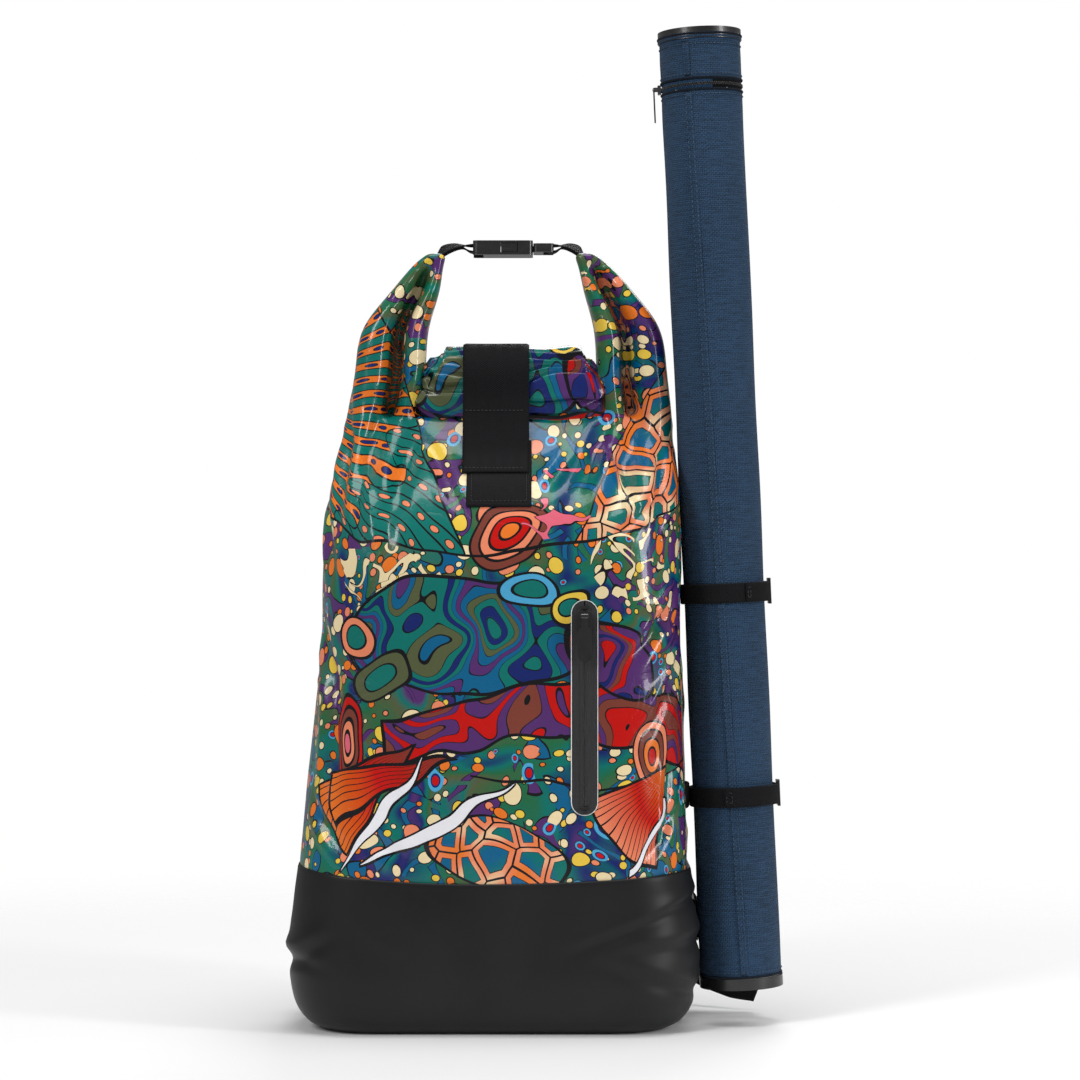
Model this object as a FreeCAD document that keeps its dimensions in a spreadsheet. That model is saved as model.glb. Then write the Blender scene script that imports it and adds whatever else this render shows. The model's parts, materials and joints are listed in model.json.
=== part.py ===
import FreeCAD, Part
import math
import os
import Sketcher

# Roll-top tackle backpack with a rod tube strapped to its right side.
# Frame: +Z up, the bag's front faces -Y, +X is to the viewer's right, millimetres.
# The origin is the middle of the underside of the base.

V = FreeCAD.Vector

SIZES = {
    # the bag
    "bag_width": 290, "bag_depth": 172, "base_flare": 21, "seam_flare": 13,
    "foot_inset": 24, "foot_rise": 24, "flare_height": 62, "boot_height": 126,
    "body_height": 356, "shoulder_drop": 82, "mouth_width": 268, "mouth_depth": 56,
    "mouth_x": 12, "mouth_y": 15, "body_x": 5, "corner": 60, "mouth_corner": 20, "wall": 1.5,
    # the rolled mouth and its two upturned ends
    "roll_length": 134, "roll_x": 14, "roll_depth": 46, "roll_height": 68, "roll_corner": 20,
    "seat_gap": 1, "stiffener_thick": 1.5, "stiffener_height": 40,
    "ear_height": 147, "ear_top_width": 16, "ear_top_depth": 30, "ear_foot_width": 52,
    "ear_span": 119, "ear_x": 12.5, "ear_shoulder": 56, "ear_depth": 46,
    # the buckle that closes the handle
    "buckle_long": 66, "buckle_wide": 34, "buckle_thick": 11.6, "buckle_x": 15,
    "buckle_web_wide": 25, "web_thick": 1.5, "male_base": 17, "web_bar": 3.2, "slot": 5.2,
    "prong_thick": 3, "prong_reach": 26, "prong_pad": 13, "prong_sink": 3.4, "fit": 0.35,
    # the hook-and-loop strap over the roll
    "closure_width": 54, "closure_x": 1, "closure_thick": 2, "closure_reach": 36,
    "closure_tail": 50, "patch_thick": 1.2, "patch_height": 62, "patch_width": 52,
    # the upright zip on the front
    "zip_x": 72, "zip_bottom": 181, "zip_length": 161, "zip_tape": 20, "zip_coil": 5,
    "zip_tape_thick": 1.2, "zip_coil_thick": 1.3, "slider_wide": 10, "slider_long": 15,
    "slider_thick": 3, "pull_wide": 11, "pull_long": 36, "pull_thick": 2.2, "pin_radius": 0.8,
    "eye_radius": 2.2, "pouch_wide": 150, "pouch_tall": 170, "pouch_thick": 4,
    # the rod tube
    "tube_radius": 33, "tube_length": 780, "tube_lean": 2.55, "tube_rise": 30, "tube_gap": 1.6,
    "tube_y": 4, "sleeve_thick": 1.4, "core_thick": 1.8, "rim_proud": 1, "rim_height": 9,
    "lid_height": 46, "zip_band": 7, "cap_thick": 3, "seam_wide": 4, "seam_proud": 0.8,
    "tube_pull_long": 26, "tube_pull_wide": 5,
    # the two straps round the tube
    "tube_strap_wide": 16, "tube_strap_thick": 1.4, "tube_strap_gap": 0.6,
    "upper_strap": 351, "lower_strap": 186, "anchor_wide": 22, "anchor_tall": 34,
    "glide_arc": 14, "glide_tall": 21, "glide_bar": 2.6,
    # the back
    "panel_wide": 230, "panel_clear": 16, "panel_bottom": 70, "panel_thick": 3,
    "pad_wide": 66, "pad_edge": 14, "pad_split": 12, "pad_top_gap": 16, "pad_thick": 12, "pad_gap": 34,
    "lumbar_tall": 62, "strap_wide": 62, "strap_thick": 13, "strap_spread": 52, "strap_clear": 8,
    "strap_bottom": 190, "strap_bow": 34, "strap_drift": 34, "strap_tip": 34,
    "yoke_tall": 30, "adjuster_wide": 25, "lock_wide": 34, "lock_tall": 26, "lock_thick": 5,
    "wing_tall": 44, "wing_wide": 32, "wing_rise": 62, "wing_thick": 1.6, "wing_y": 18,
    "haul_wide": 20, "haul_long": 84, "haul_rise": 26,
}

doc = FreeCAD.newDocument("tackle_backpack")
sheet = doc.addObject("Spreadsheet::Sheet", "sizes")
for row, (alias, value) in enumerate(SIZES.items(), start=1):
    sheet.set(f"A{row}", alias)
    sheet.set(f"B{row}", str(value))
    sheet.setAlias(f"B{row}", alias)

DERIVED = {
    "mouth_z": "boot_height + body_height",
    "base_half": "bag_width / 2 + base_flare",
    "front": "-bag_depth / 2",
    "back": "bag_depth / 2",
    "shoulder_z": "mouth_z - shoulder_drop",
    "roll_z": "mouth_z + seat_gap + roll_height / 2",
    "ear_top": "mouth_z + ear_height",
    "buckle_z": "ear_top + 3.8",
    "tube_x": "base_half + tube_gap + tube_radius + rim_proud",
    "lid_bottom": "tube_length - lid_height + zip_band / 2",
    "body_top": "tube_length - lid_height - zip_band / 2",
    "pad_face": "back + panel_thick",
    "panel_tall": "shoulder_z - panel_clear - panel_bottom",
    "pad_tall": "panel_tall - pad_edge - lumbar_tall - pad_split - pad_top_gap",
    "strap_top": "shoulder_z - strap_clear",
}
for row, (alias, formula) in enumerate(DERIVED.items(), start=len(SIZES) + 1):
    sheet.set(f"A{row}", alias)
    sheet.set(f"B{row}", "=" + formula)
    sheet.setAlias(f"B{row}", alias)
doc.recompute()

SUBPARTS = []


def size(alias):
    """The value of one cell of the sheet, as a plain number."""
    return float(getattr(sheet, alias))


def bound(formula):
    """A formula of sheet aliases, written for setExpression."""
    words = set(SIZES) | set(DERIVED)
    out = ""
    word = ""
    for letter in str(formula) + " ":
        if letter.isalnum() or letter == "_":
            word += letter
            continue
        out += ("sizes." + word if word in words else word) + letter
        word = ""
    return out.strip()


def bind(thing, prop, formula):
    thing.setExpression(prop, bound(formula))


def keep(thing, label):
    """Marks a document object as a finished sub-part with its own label."""
    thing.Label = label
    SUBPARTS.append(thing)
    return thing


def place(thing, at, angle=None, axis=(0, 1, 0)):
    """Binds a Placement: a point of three formulas and, if given, a turn in degrees about an axis."""
    if angle is not None:
        thing.Placement = FreeCAD.Placement(V(), FreeCAD.Rotation(V(*axis), 1))
        bind(thing, "Placement.Rotation.Angle", angle)
    for letter, formula in zip("xyz", at):
        bind(thing, "Placement.Base." + letter, formula)
    return thing


def box(name, lengths, at, angle=None, axis=(0, 1, 0)):
    """A Part::Box of three lengths whose lowest corner is at a point."""
    solid = doc.addObject("Part::Box", name)
    for prop, formula in zip(("Length", "Width", "Height"), lengths):
        bind(solid, prop, formula)
    return place(solid, at, angle, axis)


def rod(name, radius, length, at, axis=(0, 1, 0), angle=0):
    """A Part::Cylinder that starts at a point and runs along +Z, turned about an axis."""
    solid = doc.addObject("Part::Cylinder", name)
    bind(solid, "Radius", radius)
    bind(solid, "Height", length)
    return place(solid, at, angle, axis)


def cut(name, base, *tools):
    """The base with every tool taken away."""
    for number, tool in enumerate(tools):
        result = doc.addObject("Part::Cut", f"{name}_cut{number}")
        result.Base = base
        result.Tool = tool
        base = result
    return base


def fuse(name, *solids):
    result = doc.addObject("Part::MultiFuse", name + "_fuse")
    result.Shapes = list(solids)
    result.Refine = True
    return result


def new_body(name):
    return doc.addObject("PartDesign::Body", name)


def sketch_on(body, role, offset=("0", "0", "0")):
    """A sketch on one of the body's own origin planes, moved by three formulas."""
    plane = [f for f in body.Origin.OriginFeatures if f.Role == role][0]
    sketch = body.newObject("Sketcher::SketchObject", body.Name + "_sketch")
    sketch.AttachmentSupport = [(plane, "")]
    sketch.MapMode = "FlatFace"
    for letter, formula in zip("xyz", offset):
        bind(sketch, "AttachmentOffset.Base." + letter, formula)
    return sketch


def rounded(sketch, width, height, corner):
    """A rectangle with four equal round corners, centred on the sketch's origin."""
    w, h, r = 100.0, 80.0, 10.0
    first = sketch.GeometryCount
    x, y = w / 2, h / 2
    lines = [((-x + r, -y), (x - r, -y)), ((x, -y + r), (x, y - r)),
             ((x - r, y), (-x + r, y)), ((-x, y - r), (-x, -y + r))]
    for start, end in lines:
        sketch.addGeometry(Part.LineSegment(V(*start, 0), V(*end, 0)), False)
    for cx, cy, turn in [(x - r, -y + r, -90), (x - r, y - r, 0), (-x + r, y - r, 90), (-x + r, -y + r, 180)]:
        circle = Part.Circle(V(cx, cy, 0), V(0, 0, 1), r)
        arc = Part.ArcOfCircle(circle, math.radians(turn), math.radians(turn + 90))
        sketch.addGeometry(arc, False)
    ring = [first + n for n in (0, 4, 1, 5, 2, 6, 3, 7)]
    for here, there in zip(ring, ring[1:] + ring[:1]):
        sketch.addConstraint(Sketcher.Constraint("Tangent", here, 2, there, 1))
    for n in (0, 2):
        sketch.addConstraint(Sketcher.Constraint("Horizontal", first + n))
    for n in (1, 3):
        sketch.addConstraint(Sketcher.Constraint("Vertical", first + n))
    for n in (5, 6, 7):
        sketch.addConstraint(Sketcher.Constraint("Equal", first + 4, first + n))
    sketch.addConstraint(Sketcher.Constraint("Symmetric", first + 4, 3, first + 6, 3, -1, 1))
    wide = sketch.addConstraint(Sketcher.Constraint("DistanceX", first + 3, 1, first + 1, 1, w))
    high = sketch.addConstraint(Sketcher.Constraint("DistanceY", first, 1, first + 2, 1, h))
    bend = sketch.addConstraint(Sketcher.Constraint("Radius", first + 4, r))
    for number, formula in ((wide, width), (high, height), (bend, corner)):
        bind(sketch, f"Constraints[{number}]", formula)


def circle(sketch, radius):
    """A circle about the sketch's origin."""
    number = sketch.addGeometry(Part.Circle(V(0, 0, 0), V(0, 0, 1), 5), False)
    sketch.addConstraint(Sketcher.Constraint("Coincident", number, 3, -1, 1))
    held = sketch.addConstraint(Sketcher.Constraint("Radius", number, 5))
    bind(sketch, f"Constraints[{held}]", radius)


def pad(body, sketch, length, middle=False):
    feature = body.newObject("PartDesign::Pad", body.Name + "_pad")
    feature.Profile = sketch
    feature.Midplane = middle
    bind(feature, "Length", length)
    sketch.Visibility = False
    return feature


def loft(body, kind, sections):
    """Joins rounded rectangles at rising heights. A section is (x, y, z, width, depth, corner)."""
    made = []
    for x, y, z, width, depth, corner in sections:
        sketch = sketch_on(body, "XY_Plane", (x, y, z))
        rounded(sketch, width, depth, corner)
        made.append(sketch)
    feature = body.newObject("PartDesign::" + kind, body.Name + "_" + kind)
    feature.Profile = made[0]
    feature.Sections = made[1:]
    feature.Ruled = True
    return feature


def plate(label, role, offset, width, height, corner, thick, holes=()):
    """A flat rounded plate about its middle plane. Holes are (x, y, width, height, corner)."""
    body = new_body(label)
    sketch = sketch_on(body, role, offset)
    rounded(sketch, width, height, corner)
    pad(body, sketch, thick, middle=True)
    for x, y, wide, high, bend in holes:
        opening = sketch_on(body, role, (f"{offset[0]} + {x}", f"{offset[1]} + {y}", offset[2]))
        rounded(opening, wide, high, bend)
        pocket = body.newObject("PartDesign::Pocket", label + "_pocket")
        pocket.Profile = opening
        pocket.Midplane = True
        pocket.Type = 1
    return body


def grown(section, by):
    """A section grown outward by a formula on every side."""
    x, y, z, width, depth, corner = section
    return x, y, z, f"{width} + 2 * ({by})", f"{depth} + 2 * ({by})", f"{corner} + ({by})"


# --- the bag ---------------------------------------------------------------------------------

def base_boot():
    foot = ("0", "0", "0", "2 * (base_half - foot_inset)", "bag_depth - 2 * foot_inset", "corner - foot_inset / 2")
    rise = ("0", "0", "foot_rise", "2 * base_half - 10", "bag_depth - 10", "corner - 5")
    wide = ("0", "0", "flare_height", "2 * base_half", "bag_depth", "corner")
    seam = ("0", "0", "boot_height", "bag_width + 2 * seam_flare", "bag_depth", "corner")
    body = new_body("base_boot")
    loft(body, "AdditiveLoft", [foot, rise, wide, seam])
    inner = [grown(s, "-wall") for s in (foot, rise, wide, seam)]
    inner[0] = inner[0][:2] + ("wall",) + inner[0][3:]
    inner[-1] = inner[-1][:2] + ("boot_height + wall",) + inner[-1][3:]
    loft(body, "SubtractiveLoft", inner)
    keep(body, "base_boot")


def body_sections():
    seam = ("0", "0", "boot_height", "bag_width + 2 * seam_flare", "bag_depth", "corner")
    waist = ("body_x", "0", "boot_height + body_height / 2", "bag_width", "bag_depth", "corner")
    shoulder = ("body_x + 1", "0", "shoulder_z", "bag_width - 2", "bag_depth", "corner")
    mouth = ("mouth_x", "mouth_y", "mouth_z", "mouth_width", "mouth_depth", "mouth_corner")
    return [seam, waist, shoulder, mouth]


def body_shell():
    body = new_body("body_shell")
    loft(body, "AdditiveLoft", body_sections())
    loft(body, "SubtractiveLoft", [grown(s, "-wall") for s in body_sections()])
    keep(body, "body_shell")


def rolled_mouth():
    stiff_gap = ("stiffener_thick", "stiffener_height")
    roll = plate("roll_top", "YZ_Plane", ("mouth_y", "roll_z", "roll_x"), "roll_depth", "roll_height",
                 "roll_corner", "roll_length", [("0", "0", *stiff_gap, "stiffener_thick / 4")])
    keep(roll, "roll_top")
    strip = plate("roll_stiffener", "YZ_Plane", ("mouth_y", "roll_z", "roll_x"), *stiff_gap,
                  "stiffener_thick / 4", "roll_length - 6")
    keep(strip, "roll_stiffener")


def ear(label, side):
    """One end of the roll, which turns up beside the handle and narrows to the webbing."""
    foot_x = f"mouth_x + ({side}) * (mouth_width - ear_foot_width) / 2"
    mid_x = f"roll_x + ({side}) * (roll_length + ear_shoulder + 6) / 2"
    top_x = f"ear_x + ({side}) * ear_span / 2"
    high_x = f"({mid_x}) * 0.48 + ({top_x}) * 0.52"
    body = new_body(label)
    loft(body, "AdditiveLoft", [
        (foot_x, "mouth_y", "mouth_z + 0.2", "ear_foot_width", "mouth_depth - 2", "mouth_corner - 2"),
        (mid_x, "mouth_y", "mouth_z + ear_height * 0.45", "ear_shoulder - 6", "ear_depth", "roll_corner - 4"),
        (high_x, "mouth_y", "mouth_z + ear_height * 0.78", "(ear_shoulder + ear_top_width) / 2 + 4",
         "(ear_depth + ear_top_depth) / 2", "roll_corner - 8"),
        (top_x, "mouth_y", "ear_top", "ear_top_width", "ear_top_depth", "ear_top_width / 2 - 1")])
    keep(body, label)


# --- the handle and its buckle ---------------------------------------------------------------

def web_loop(label, left, right):
    """A flat loop of webbing round a bar, seen from the front as a long rounded ring."""
    middle = f"(({left}) + ({right})) / 2"
    length = f"({right}) - ({left})"
    tall = "web_bar + 2 * fit + 2 * web_thick"
    at = (middle, "buckle_z", "-mouth_y")
    hole = ("0", "0", f"{length} - 2 * web_thick", "web_bar + 2 * fit", "web_bar / 2")
    loop = plate(label, "XZ_Plane", at, length, tall, "(web_bar + web_thick) / 2", "buckle_web_wide", [hole])
    keep(loop, label)


def buckle_female():
    left = "(buckle_x - buckle_long / 2)"
    long = "(buckle_long - male_base)"
    shell = plate("buckle_female_shell", "XY_Plane", (f"{left} + {long} / 2", "mouth_y", "buckle_z"),
                  long, "buckle_wide", "4", "buckle_thick",
                  [(f"-{long} / 2 + web_bar + slot / 2", "0", "slot", "buckle_web_wide + 1.6", "1")])
    underside = "buckle_z - buckle_thick / 2"
    cavity = box("buckle_cavity", (f"{long} - web_bar - slot - 4", "buckle_wide - 6", "buckle_thick - 4"),
                 (f"{left} + web_bar + slot + 5", "mouth_y - buckle_wide / 2 + 3", f"{underside} + 2"))
    windows = box("buckle_windows", ("prong_pad + 1.4", "buckle_wide + 8", "buckle_thick - 4"),
                  (f"{left} + {long} - prong_reach - 0.7", "mouth_y - buckle_wide / 2 - 4", f"{underside} + 2"))
    relief = ("web_bar + slot", "buckle_web_wide + 1.6", "(buckle_thick - web_bar) / 2 + 1")
    relief_at = (f"{left} - 0.01", "mouth_y - (buckle_web_wide + 1.6) / 2")
    lower = box("bar_relief_low", relief, (*relief_at, f"{underside} - 1"))
    upper = box("bar_relief_high", relief, (*relief_at, "buckle_z + web_bar / 2"))
    keep(cut("buckle_female", shell, cavity, windows, lower, upper), "buckle_female")


def buckle_male():
    left = "(buckle_x + buckle_long / 2 - male_base)"
    base = plate("buckle_male_base", "XY_Plane", (f"{left} + (male_base + fit) / 2", "mouth_y", "buckle_z"),
                 "male_base - fit", "buckle_wide - 2", "3", "buckle_thick - 4.6",
                 [("(male_base - fit) / 2 - web_bar - slot / 2", "0", "slot", "buckle_web_wide + 1.6", "1")])
    relief_at = (f"{left} + male_base - web_bar - slot", "mouth_y - (buckle_web_wide + 1.6) / 2")
    relief = ("web_bar + slot", "buckle_web_wide + 1.6", "(buckle_thick - web_bar) / 2")
    lower = box("male_relief_low", relief, (*relief_at, "buckle_z - buckle_thick / 2"))
    upper = box("male_relief_high", relief, (*relief_at, "buckle_z + web_bar / 2"))
    guide = box("buckle_guide", ("prong_reach + fit + 1", "4.4", "5"),
                (f"{left} - prong_reach", "mouth_y - 2.2", "buckle_z - 2.5"))
    keep(fuse("buckle_male", cut("buckle_male", base, lower, upper), guide), "buckle_male")


def prong(label, side):
    """A sprung arm of the male half, with the pad that shows in the side window."""
    left = "(buckle_x + buckle_long / 2 - male_base)"
    arm_y = "(buckle_wide / 2 - 3 - fit - prong_thick - 1)"
    low = "buckle_z - buckle_thick / 2 + 2.4"
    tall = "buckle_thick - 4.8"
    start = "0" if side > 0 else "prong_thick"
    arm = box(label + "_arm", ("prong_reach", "prong_thick", tall),
              (f"{left} - prong_reach", f"mouth_y + {side} * ({arm_y}) - {start}", low))
    start = "0" if side > 0 else "(prong_sink + 1.6)"
    face = box(label + "_pad", ("prong_pad", "(prong_sink + 1.6)", tall),
               (f"{left} - prong_reach", f"mouth_y + {side} * ({arm_y} + prong_thick - 0.4) - {start}", low))
    keep(fuse(label, arm, face), label)


# --- the strap over the roll -----------------------------------------------------------------

def ribbon(points, thick, wide, middle):
    """A flat strip of even thickness whose centre line is a list of (y, z), as wide along X as said."""
    left, right = [], []
    for i, (y, z) in enumerate(points):
        before = points[max(i - 1, 0)]
        after = points[min(i + 1, len(points) - 1)]
        one = V(y - before[0], z - before[1], 0)
        two = V(after[0] - y, after[1] - z, 0)
        one = (one if one.Length > 0 else two).normalize()
        two = (two if two.Length > 0 else one).normalize()
        mean = V(one.x + two.x, one.y + two.y, 0).normalize()
        reach = thick / 2 / max(one.dot(mean), 0.3)
        left.append(V(middle - wide / 2, y - mean.y * reach, z + mean.x * reach))
        right.append(V(middle - wide / 2, y + mean.y * reach, z - mean.x * reach))
    outline = left + right[::-1] + left[:1]
    return Part.Face(Part.makePolygon(outline)).extrude(V(wide, 0, 0))


def ribbon_part(label, points, thick, wide, middle, at=(0, 0, 0)):
    """Keeps a ribbon as a sub-part. Its Placement is set after its Shape."""
    feature = doc.addObject("Part::Feature", label)
    feature.Shape = ribbon(points, thick, wide, middle)
    feature.Placement = FreeCAD.Placement(V(*at), FreeCAD.Rotation())
    return keep(feature, label)


def slope_point(side, height, lift):
    """A point on the bag's sloping front (-1) or back (1) shoulder, lifted off it."""
    top = V(0, size("mouth_y") + side * size("mouth_depth") / 2, size("mouth_z"))
    low = V(0, side * size("bag_depth") / 2, size("shoulder_z"))
    share = (size("mouth_z") - height) / (top.z - low.z)
    spot = top + (low - top) * share
    run = (top - low).normalize()
    out = V(0, side * run.z, -side * run.y)
    spot = spot + out * lift
    return spot.y, spot.z


def over_roll(side, lift):
    """Points round the upper edge and down one face of the roll, lifted off it."""
    half, tall = size("roll_depth") / 2, size("roll_height") / 2
    y, z, r = size("mouth_y"), size("roll_z"), size("roll_corner")
    turns = [math.radians(22.5), math.radians(67.5)]
    reach = (r + lift) / math.cos(turns[0])
    points = [(y + side * (half - r + reach * math.sin(a)), z + tall - r + reach * math.cos(a))
              for a in turns]
    return points + [(y + side * (half + lift), z - tall + r)]


def closure_strap():
    thick, wide, middle = size("closure_thick"), size("closure_width"), size("closure_x")
    gap = 2 * size("fit")
    lift = gap + thick / 2
    y, z = size("mouth_y"), size("roll_z") + size("roll_height") / 2
    front_lift = size("patch_thick") + lift
    drop = size("mouth_z") - size("closure_reach")
    flap = [(y, z + lift)] + over_roll(-1, lift)
    flap += [slope_point(-1, size("mouth_z") - 4, front_lift), slope_point(-1, drop, front_lift)]
    ribbon_part("closure_flap", flap, thick, wide, middle)
    anchor = [(y + thick, z + lift)] + over_roll(1, lift)
    anchor += [slope_point(1, size("mouth_z") - 4, lift), slope_point(1, size("shoulder_z") - 2, thick / 2)]
    anchor += [(size("back") + thick / 2, size("shoulder_z") - size("closure_tail") * 0.16)]
    ribbon_part("closure_anchor", anchor, thick, wide, middle)
    low = slope_point(-1, size("mouth_z") - size("patch_height"), size("patch_thick") / 2)
    high = slope_point(-1, size("mouth_z") - 6, size("patch_thick") / 2)
    ribbon_part("closure_patch", [high, low], size("patch_thick"), size("patch_width"), middle + 3)


# --- the front zip ---------------------------------------------------------------------------

def front_zip():
    middle = "zip_bottom + zip_length / 2"
    face = "-front"
    keep(plate("front_zip_tape", "XZ_Plane", ("zip_x", middle, f"{face} + zip_tape_thick / 2"),
               "zip_tape", "zip_length + 8", "zip_tape / 2 - 0.5", "zip_tape_thick"), "front_zip_tape")
    front_y = f"{face} + zip_tape_thick"
    keep(plate("front_zip_coil", "XZ_Plane", ("zip_x", middle, f"{front_y} + zip_coil_thick / 2"),
               "zip_coil", "zip_length - 6", "1", "zip_coil_thick"), "front_zip_coil")
    stop_at = "front - zip_tape_thick - zip_coil_thick"
    stops = [box(f"zip_stop_{n}", ("zip_coil + 2", "zip_coil_thick", "2.4"),
                 ("zip_x - zip_coil / 2 - 1", stop_at, low))
             for n, low in enumerate(("zip_bottom", "zip_bottom + zip_length - 2.4"))]
    keep(fuse("front_zip_stops", *stops), "front_zip_stops")
    top = "(zip_bottom + zip_length - 4)"
    under = "(zip_tape_thick + zip_coil_thick + fit)"
    slab_at = ("zip_x", f"{top} - slider_long / 2", f"{face} + {under} + slider_thick / 2")
    slab = plate("slider_slab", "XZ_Plane", slab_at, "slider_wide", "slider_long", "3", "slider_thick")
    pin_y = f"(front - {under} - slider_thick - eye_radius - fit)"
    pin_z = f"({top} - 4)"
    lugs = [box(f"slider_lug_{n}", ("1.4", "eye_radius + fit + slider_thick / 2 + 1", "4"),
                (f"zip_x + {x}", f"{pin_y} - 1", f"{pin_z} - 2")) for n, x in enumerate(("-4.4", "3"))]
    pin = rod("slider_pin", "pin_radius", "7.4", ("zip_x - 3.7", pin_y, pin_z), angle=90)
    keep(fuse("front_zip_slider", slab, *lugs, pin), "front_zip_slider")
    eye = rod("pull_eye", "eye_radius", "5.4", ("zip_x - 2.7", pin_y, pin_z), angle=90)
    hole = rod("pull_hole", "pin_radius + fit", "7", ("zip_x - 3.5", pin_y, pin_z), angle=90)
    stem = box("pull_stem", ("5.4", "pull_thick", "9"),
               ("zip_x - 2.7", f"{pin_y} - pull_thick / 2", f"{pin_z} - 10"))
    tab = plate("pull_tab", "XZ_Plane", ("zip_x", f"{pin_z} - pull_long / 2 - 4", f"-{pin_y}"),
                "pull_wide", "pull_long - 8", "pull_wide / 2 - 0.5", "pull_thick")
    keep(cut("front_zip_pull", fuse("pull", eye, stem, tab), hole), "front_zip_pull")
    pouch_at = ("zip_x - pouch_wide * 0.4", "zip_bottom + pouch_tall / 2 - 20", "-front - wall - pouch_thick / 2")
    keep(plate("front_pocket_pouch", "XZ_Plane", pouch_at, "pouch_wide", "pouch_tall", "12", "pouch_thick"),
         "front_pocket_pouch")


# --- the rod tube ----------------------------------------------------------------------------
# Its pieces are drawn upright about their own Z axis and then leaned as one.

def lean(thing):
    return place(thing, ("tube_x", "tube_y", "tube_rise"), "-tube_lean")


def ring(name, outer, inner, low, high):
    """An upright ring, or a disc where there is no inner radius."""
    body = new_body(name)
    sketch = sketch_on(body, "XY_Plane", ("0", "0", low))
    circle(sketch, outer)
    if inner:
        circle(sketch, inner)
    pad(body, sketch, f"({high}) - ({low})")
    return body


def cap(label, low, high, disc_low, disc_high):
    """The plastic rim round one end of the tube and the disc that closes it, as one moulding."""
    rim = ring(label + "_rim", "tube_radius + rim_proud", "tube_radius", low, high)
    disc = ring(label + "_disc", "tube_radius + rim_proud", None, disc_low, disc_high)
    return keep(lean(fuse(label, rim, disc)), label)


def rod_tube():
    bore = "tube_radius - sleeve_thick - core_thick"
    inner = "tube_radius - sleeve_thick"
    keep(lean(ring("tube_core", inner, bore, "cap_thick", "body_top")), "tube_core")
    keep(lean(ring("tube_sleeve", "tube_radius", inner, "cap_thick", "body_top")), "tube_sleeve")
    cap("tube_bottom_cap", "cap_thick", "rim_height", "0", "cap_thick")
    keep(lean(ring("tube_zip_band", "tube_radius", inner, "body_top", "lid_bottom - fit")), "tube_zip_band")
    lid_top = "tube_length - cap_thick"
    keep(lean(ring("lid_core", inner, bore, "lid_bottom", lid_top)), "lid_core")
    keep(lean(ring("lid_sleeve", "tube_radius", inner, "lid_bottom", lid_top)), "lid_sleeve")
    cap("lid_cap", "tube_length - rim_height", lid_top, lid_top, "tube_length")
    seam = box("seam_strip", ("seam_wide", "seam_proud", "body_top - rim_height - 4"),
               ("-seam_wide / 2", "-tube_radius - seam_proud", "rim_height + 1"))
    core = ring("seam_hollow", "tube_radius", None, "0", "tube_length")
    keep(lean(cut("tube_seam", seam, core)), "tube_seam")


def tube_zip():
    """The slider and pull of the lid's zip, parked at the tube's left."""
    reach = "(tube_radius + fit)"
    slab = box("tube_slider_slab", ("2.6", "8", "7"), (f"-{reach} - 2.6", "-4", "body_top"))
    pin_x = f"(-{reach} - 2.6 - eye_radius - fit)"
    pin_z = "(body_top + 4)"
    lugs = [box(f"tube_lug_{n}", ("eye_radius + fit + 1.6", "1.2", "3"),
                (f"{pin_x} - 0.6", y, f"{pin_z} - 1.5"))
            for n, y in enumerate(("-3", "1.8"))]
    pin = rod("tube_slider_pin", "0.7", "5", (pin_x, "2.5", pin_z), (1, 0, 0), 90)
    keep(lean(fuse("tube_zip_slider", slab, *lugs, pin)), "tube_zip_slider")
    eye = rod("tube_pull_eye", "1.7", "3", (pin_x, "1.5", pin_z), (1, 0, 0), 90)
    hole = rod("tube_pull_hole", "1.05", "4", (pin_x, "2", pin_z), (1, 0, 0), 90)
    stem = box("tube_pull_stem", ("1.2", "tube_pull_wide / 2", "tube_pull_long"),
               (f"{pin_x} - 1.2", "-tube_pull_wide / 4", f"{pin_z} - tube_pull_long - 1"))
    keep(lean(cut("tube_zip_pull", fuse("tube_pull", eye, stem), hole)), "tube_zip_pull")


# --- the straps that hold the tube -----------------------------------------------------------

def strap_frame(thing, height):
    """Leans a piece drawn about the tube's axis, with its own z = 0 at a height of the bag."""
    rise = f"(({height}) - tube_rise)"
    at = (f"tube_x - {rise} * tan(tube_lean * 1deg)", "tube_y", height)
    return place(thing, at, "-tube_lean")


def tube_strap(name, height):
    inner = "tube_radius + rim_proud + tube_strap_gap"
    half = "tube_strap_wide / 2"
    loop = ring(f"tube_strap_{name}", f"{inner} + tube_strap_thick", inner, f"-{half}", half)
    keep(strap_frame(loop, height), f"tube_strap_{name}")


def side_x(height):
    """How far out the flat right side of the bag is at a height, on the boot or on the body above it."""
    boot, waist = size("boot_height"), size("boot_height") + size("body_height") / 2
    seam_half = size("bag_width") / 2 + size("seam_flare")
    waist_half = size("bag_width") / 2 + size("body_x")
    if height <= boot:
        share = (height - size("flare_height")) / (boot - size("flare_height"))
        return size("base_half") + (seam_half - size("base_half")) * share
    share = min((height - boot) / (waist - boot), 1)
    return seam_half + (waist_half - seam_half) * share


def side_tab(label, side, heights, outer, depth, start):
    """A tab on the bag's flat side between two heights, with its outer face at two outer distances."""
    corners = [(side_x(z), z) for z in heights] + [(x, z) for x, z in zip(outer[::-1], heights[::-1])]
    outline = [V(side * x, start, z) for x, z in corners]
    feature = doc.addObject("Part::Feature", label)
    feature.Shape = Part.Face(Part.makePolygon(outline + outline[:1])).extrude(V(0, depth, 0))
    feature.Placement = FreeCAD.Placement(V(0, 0, 0), FreeCAD.Rotation())
    return keep(feature, label)


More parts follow.
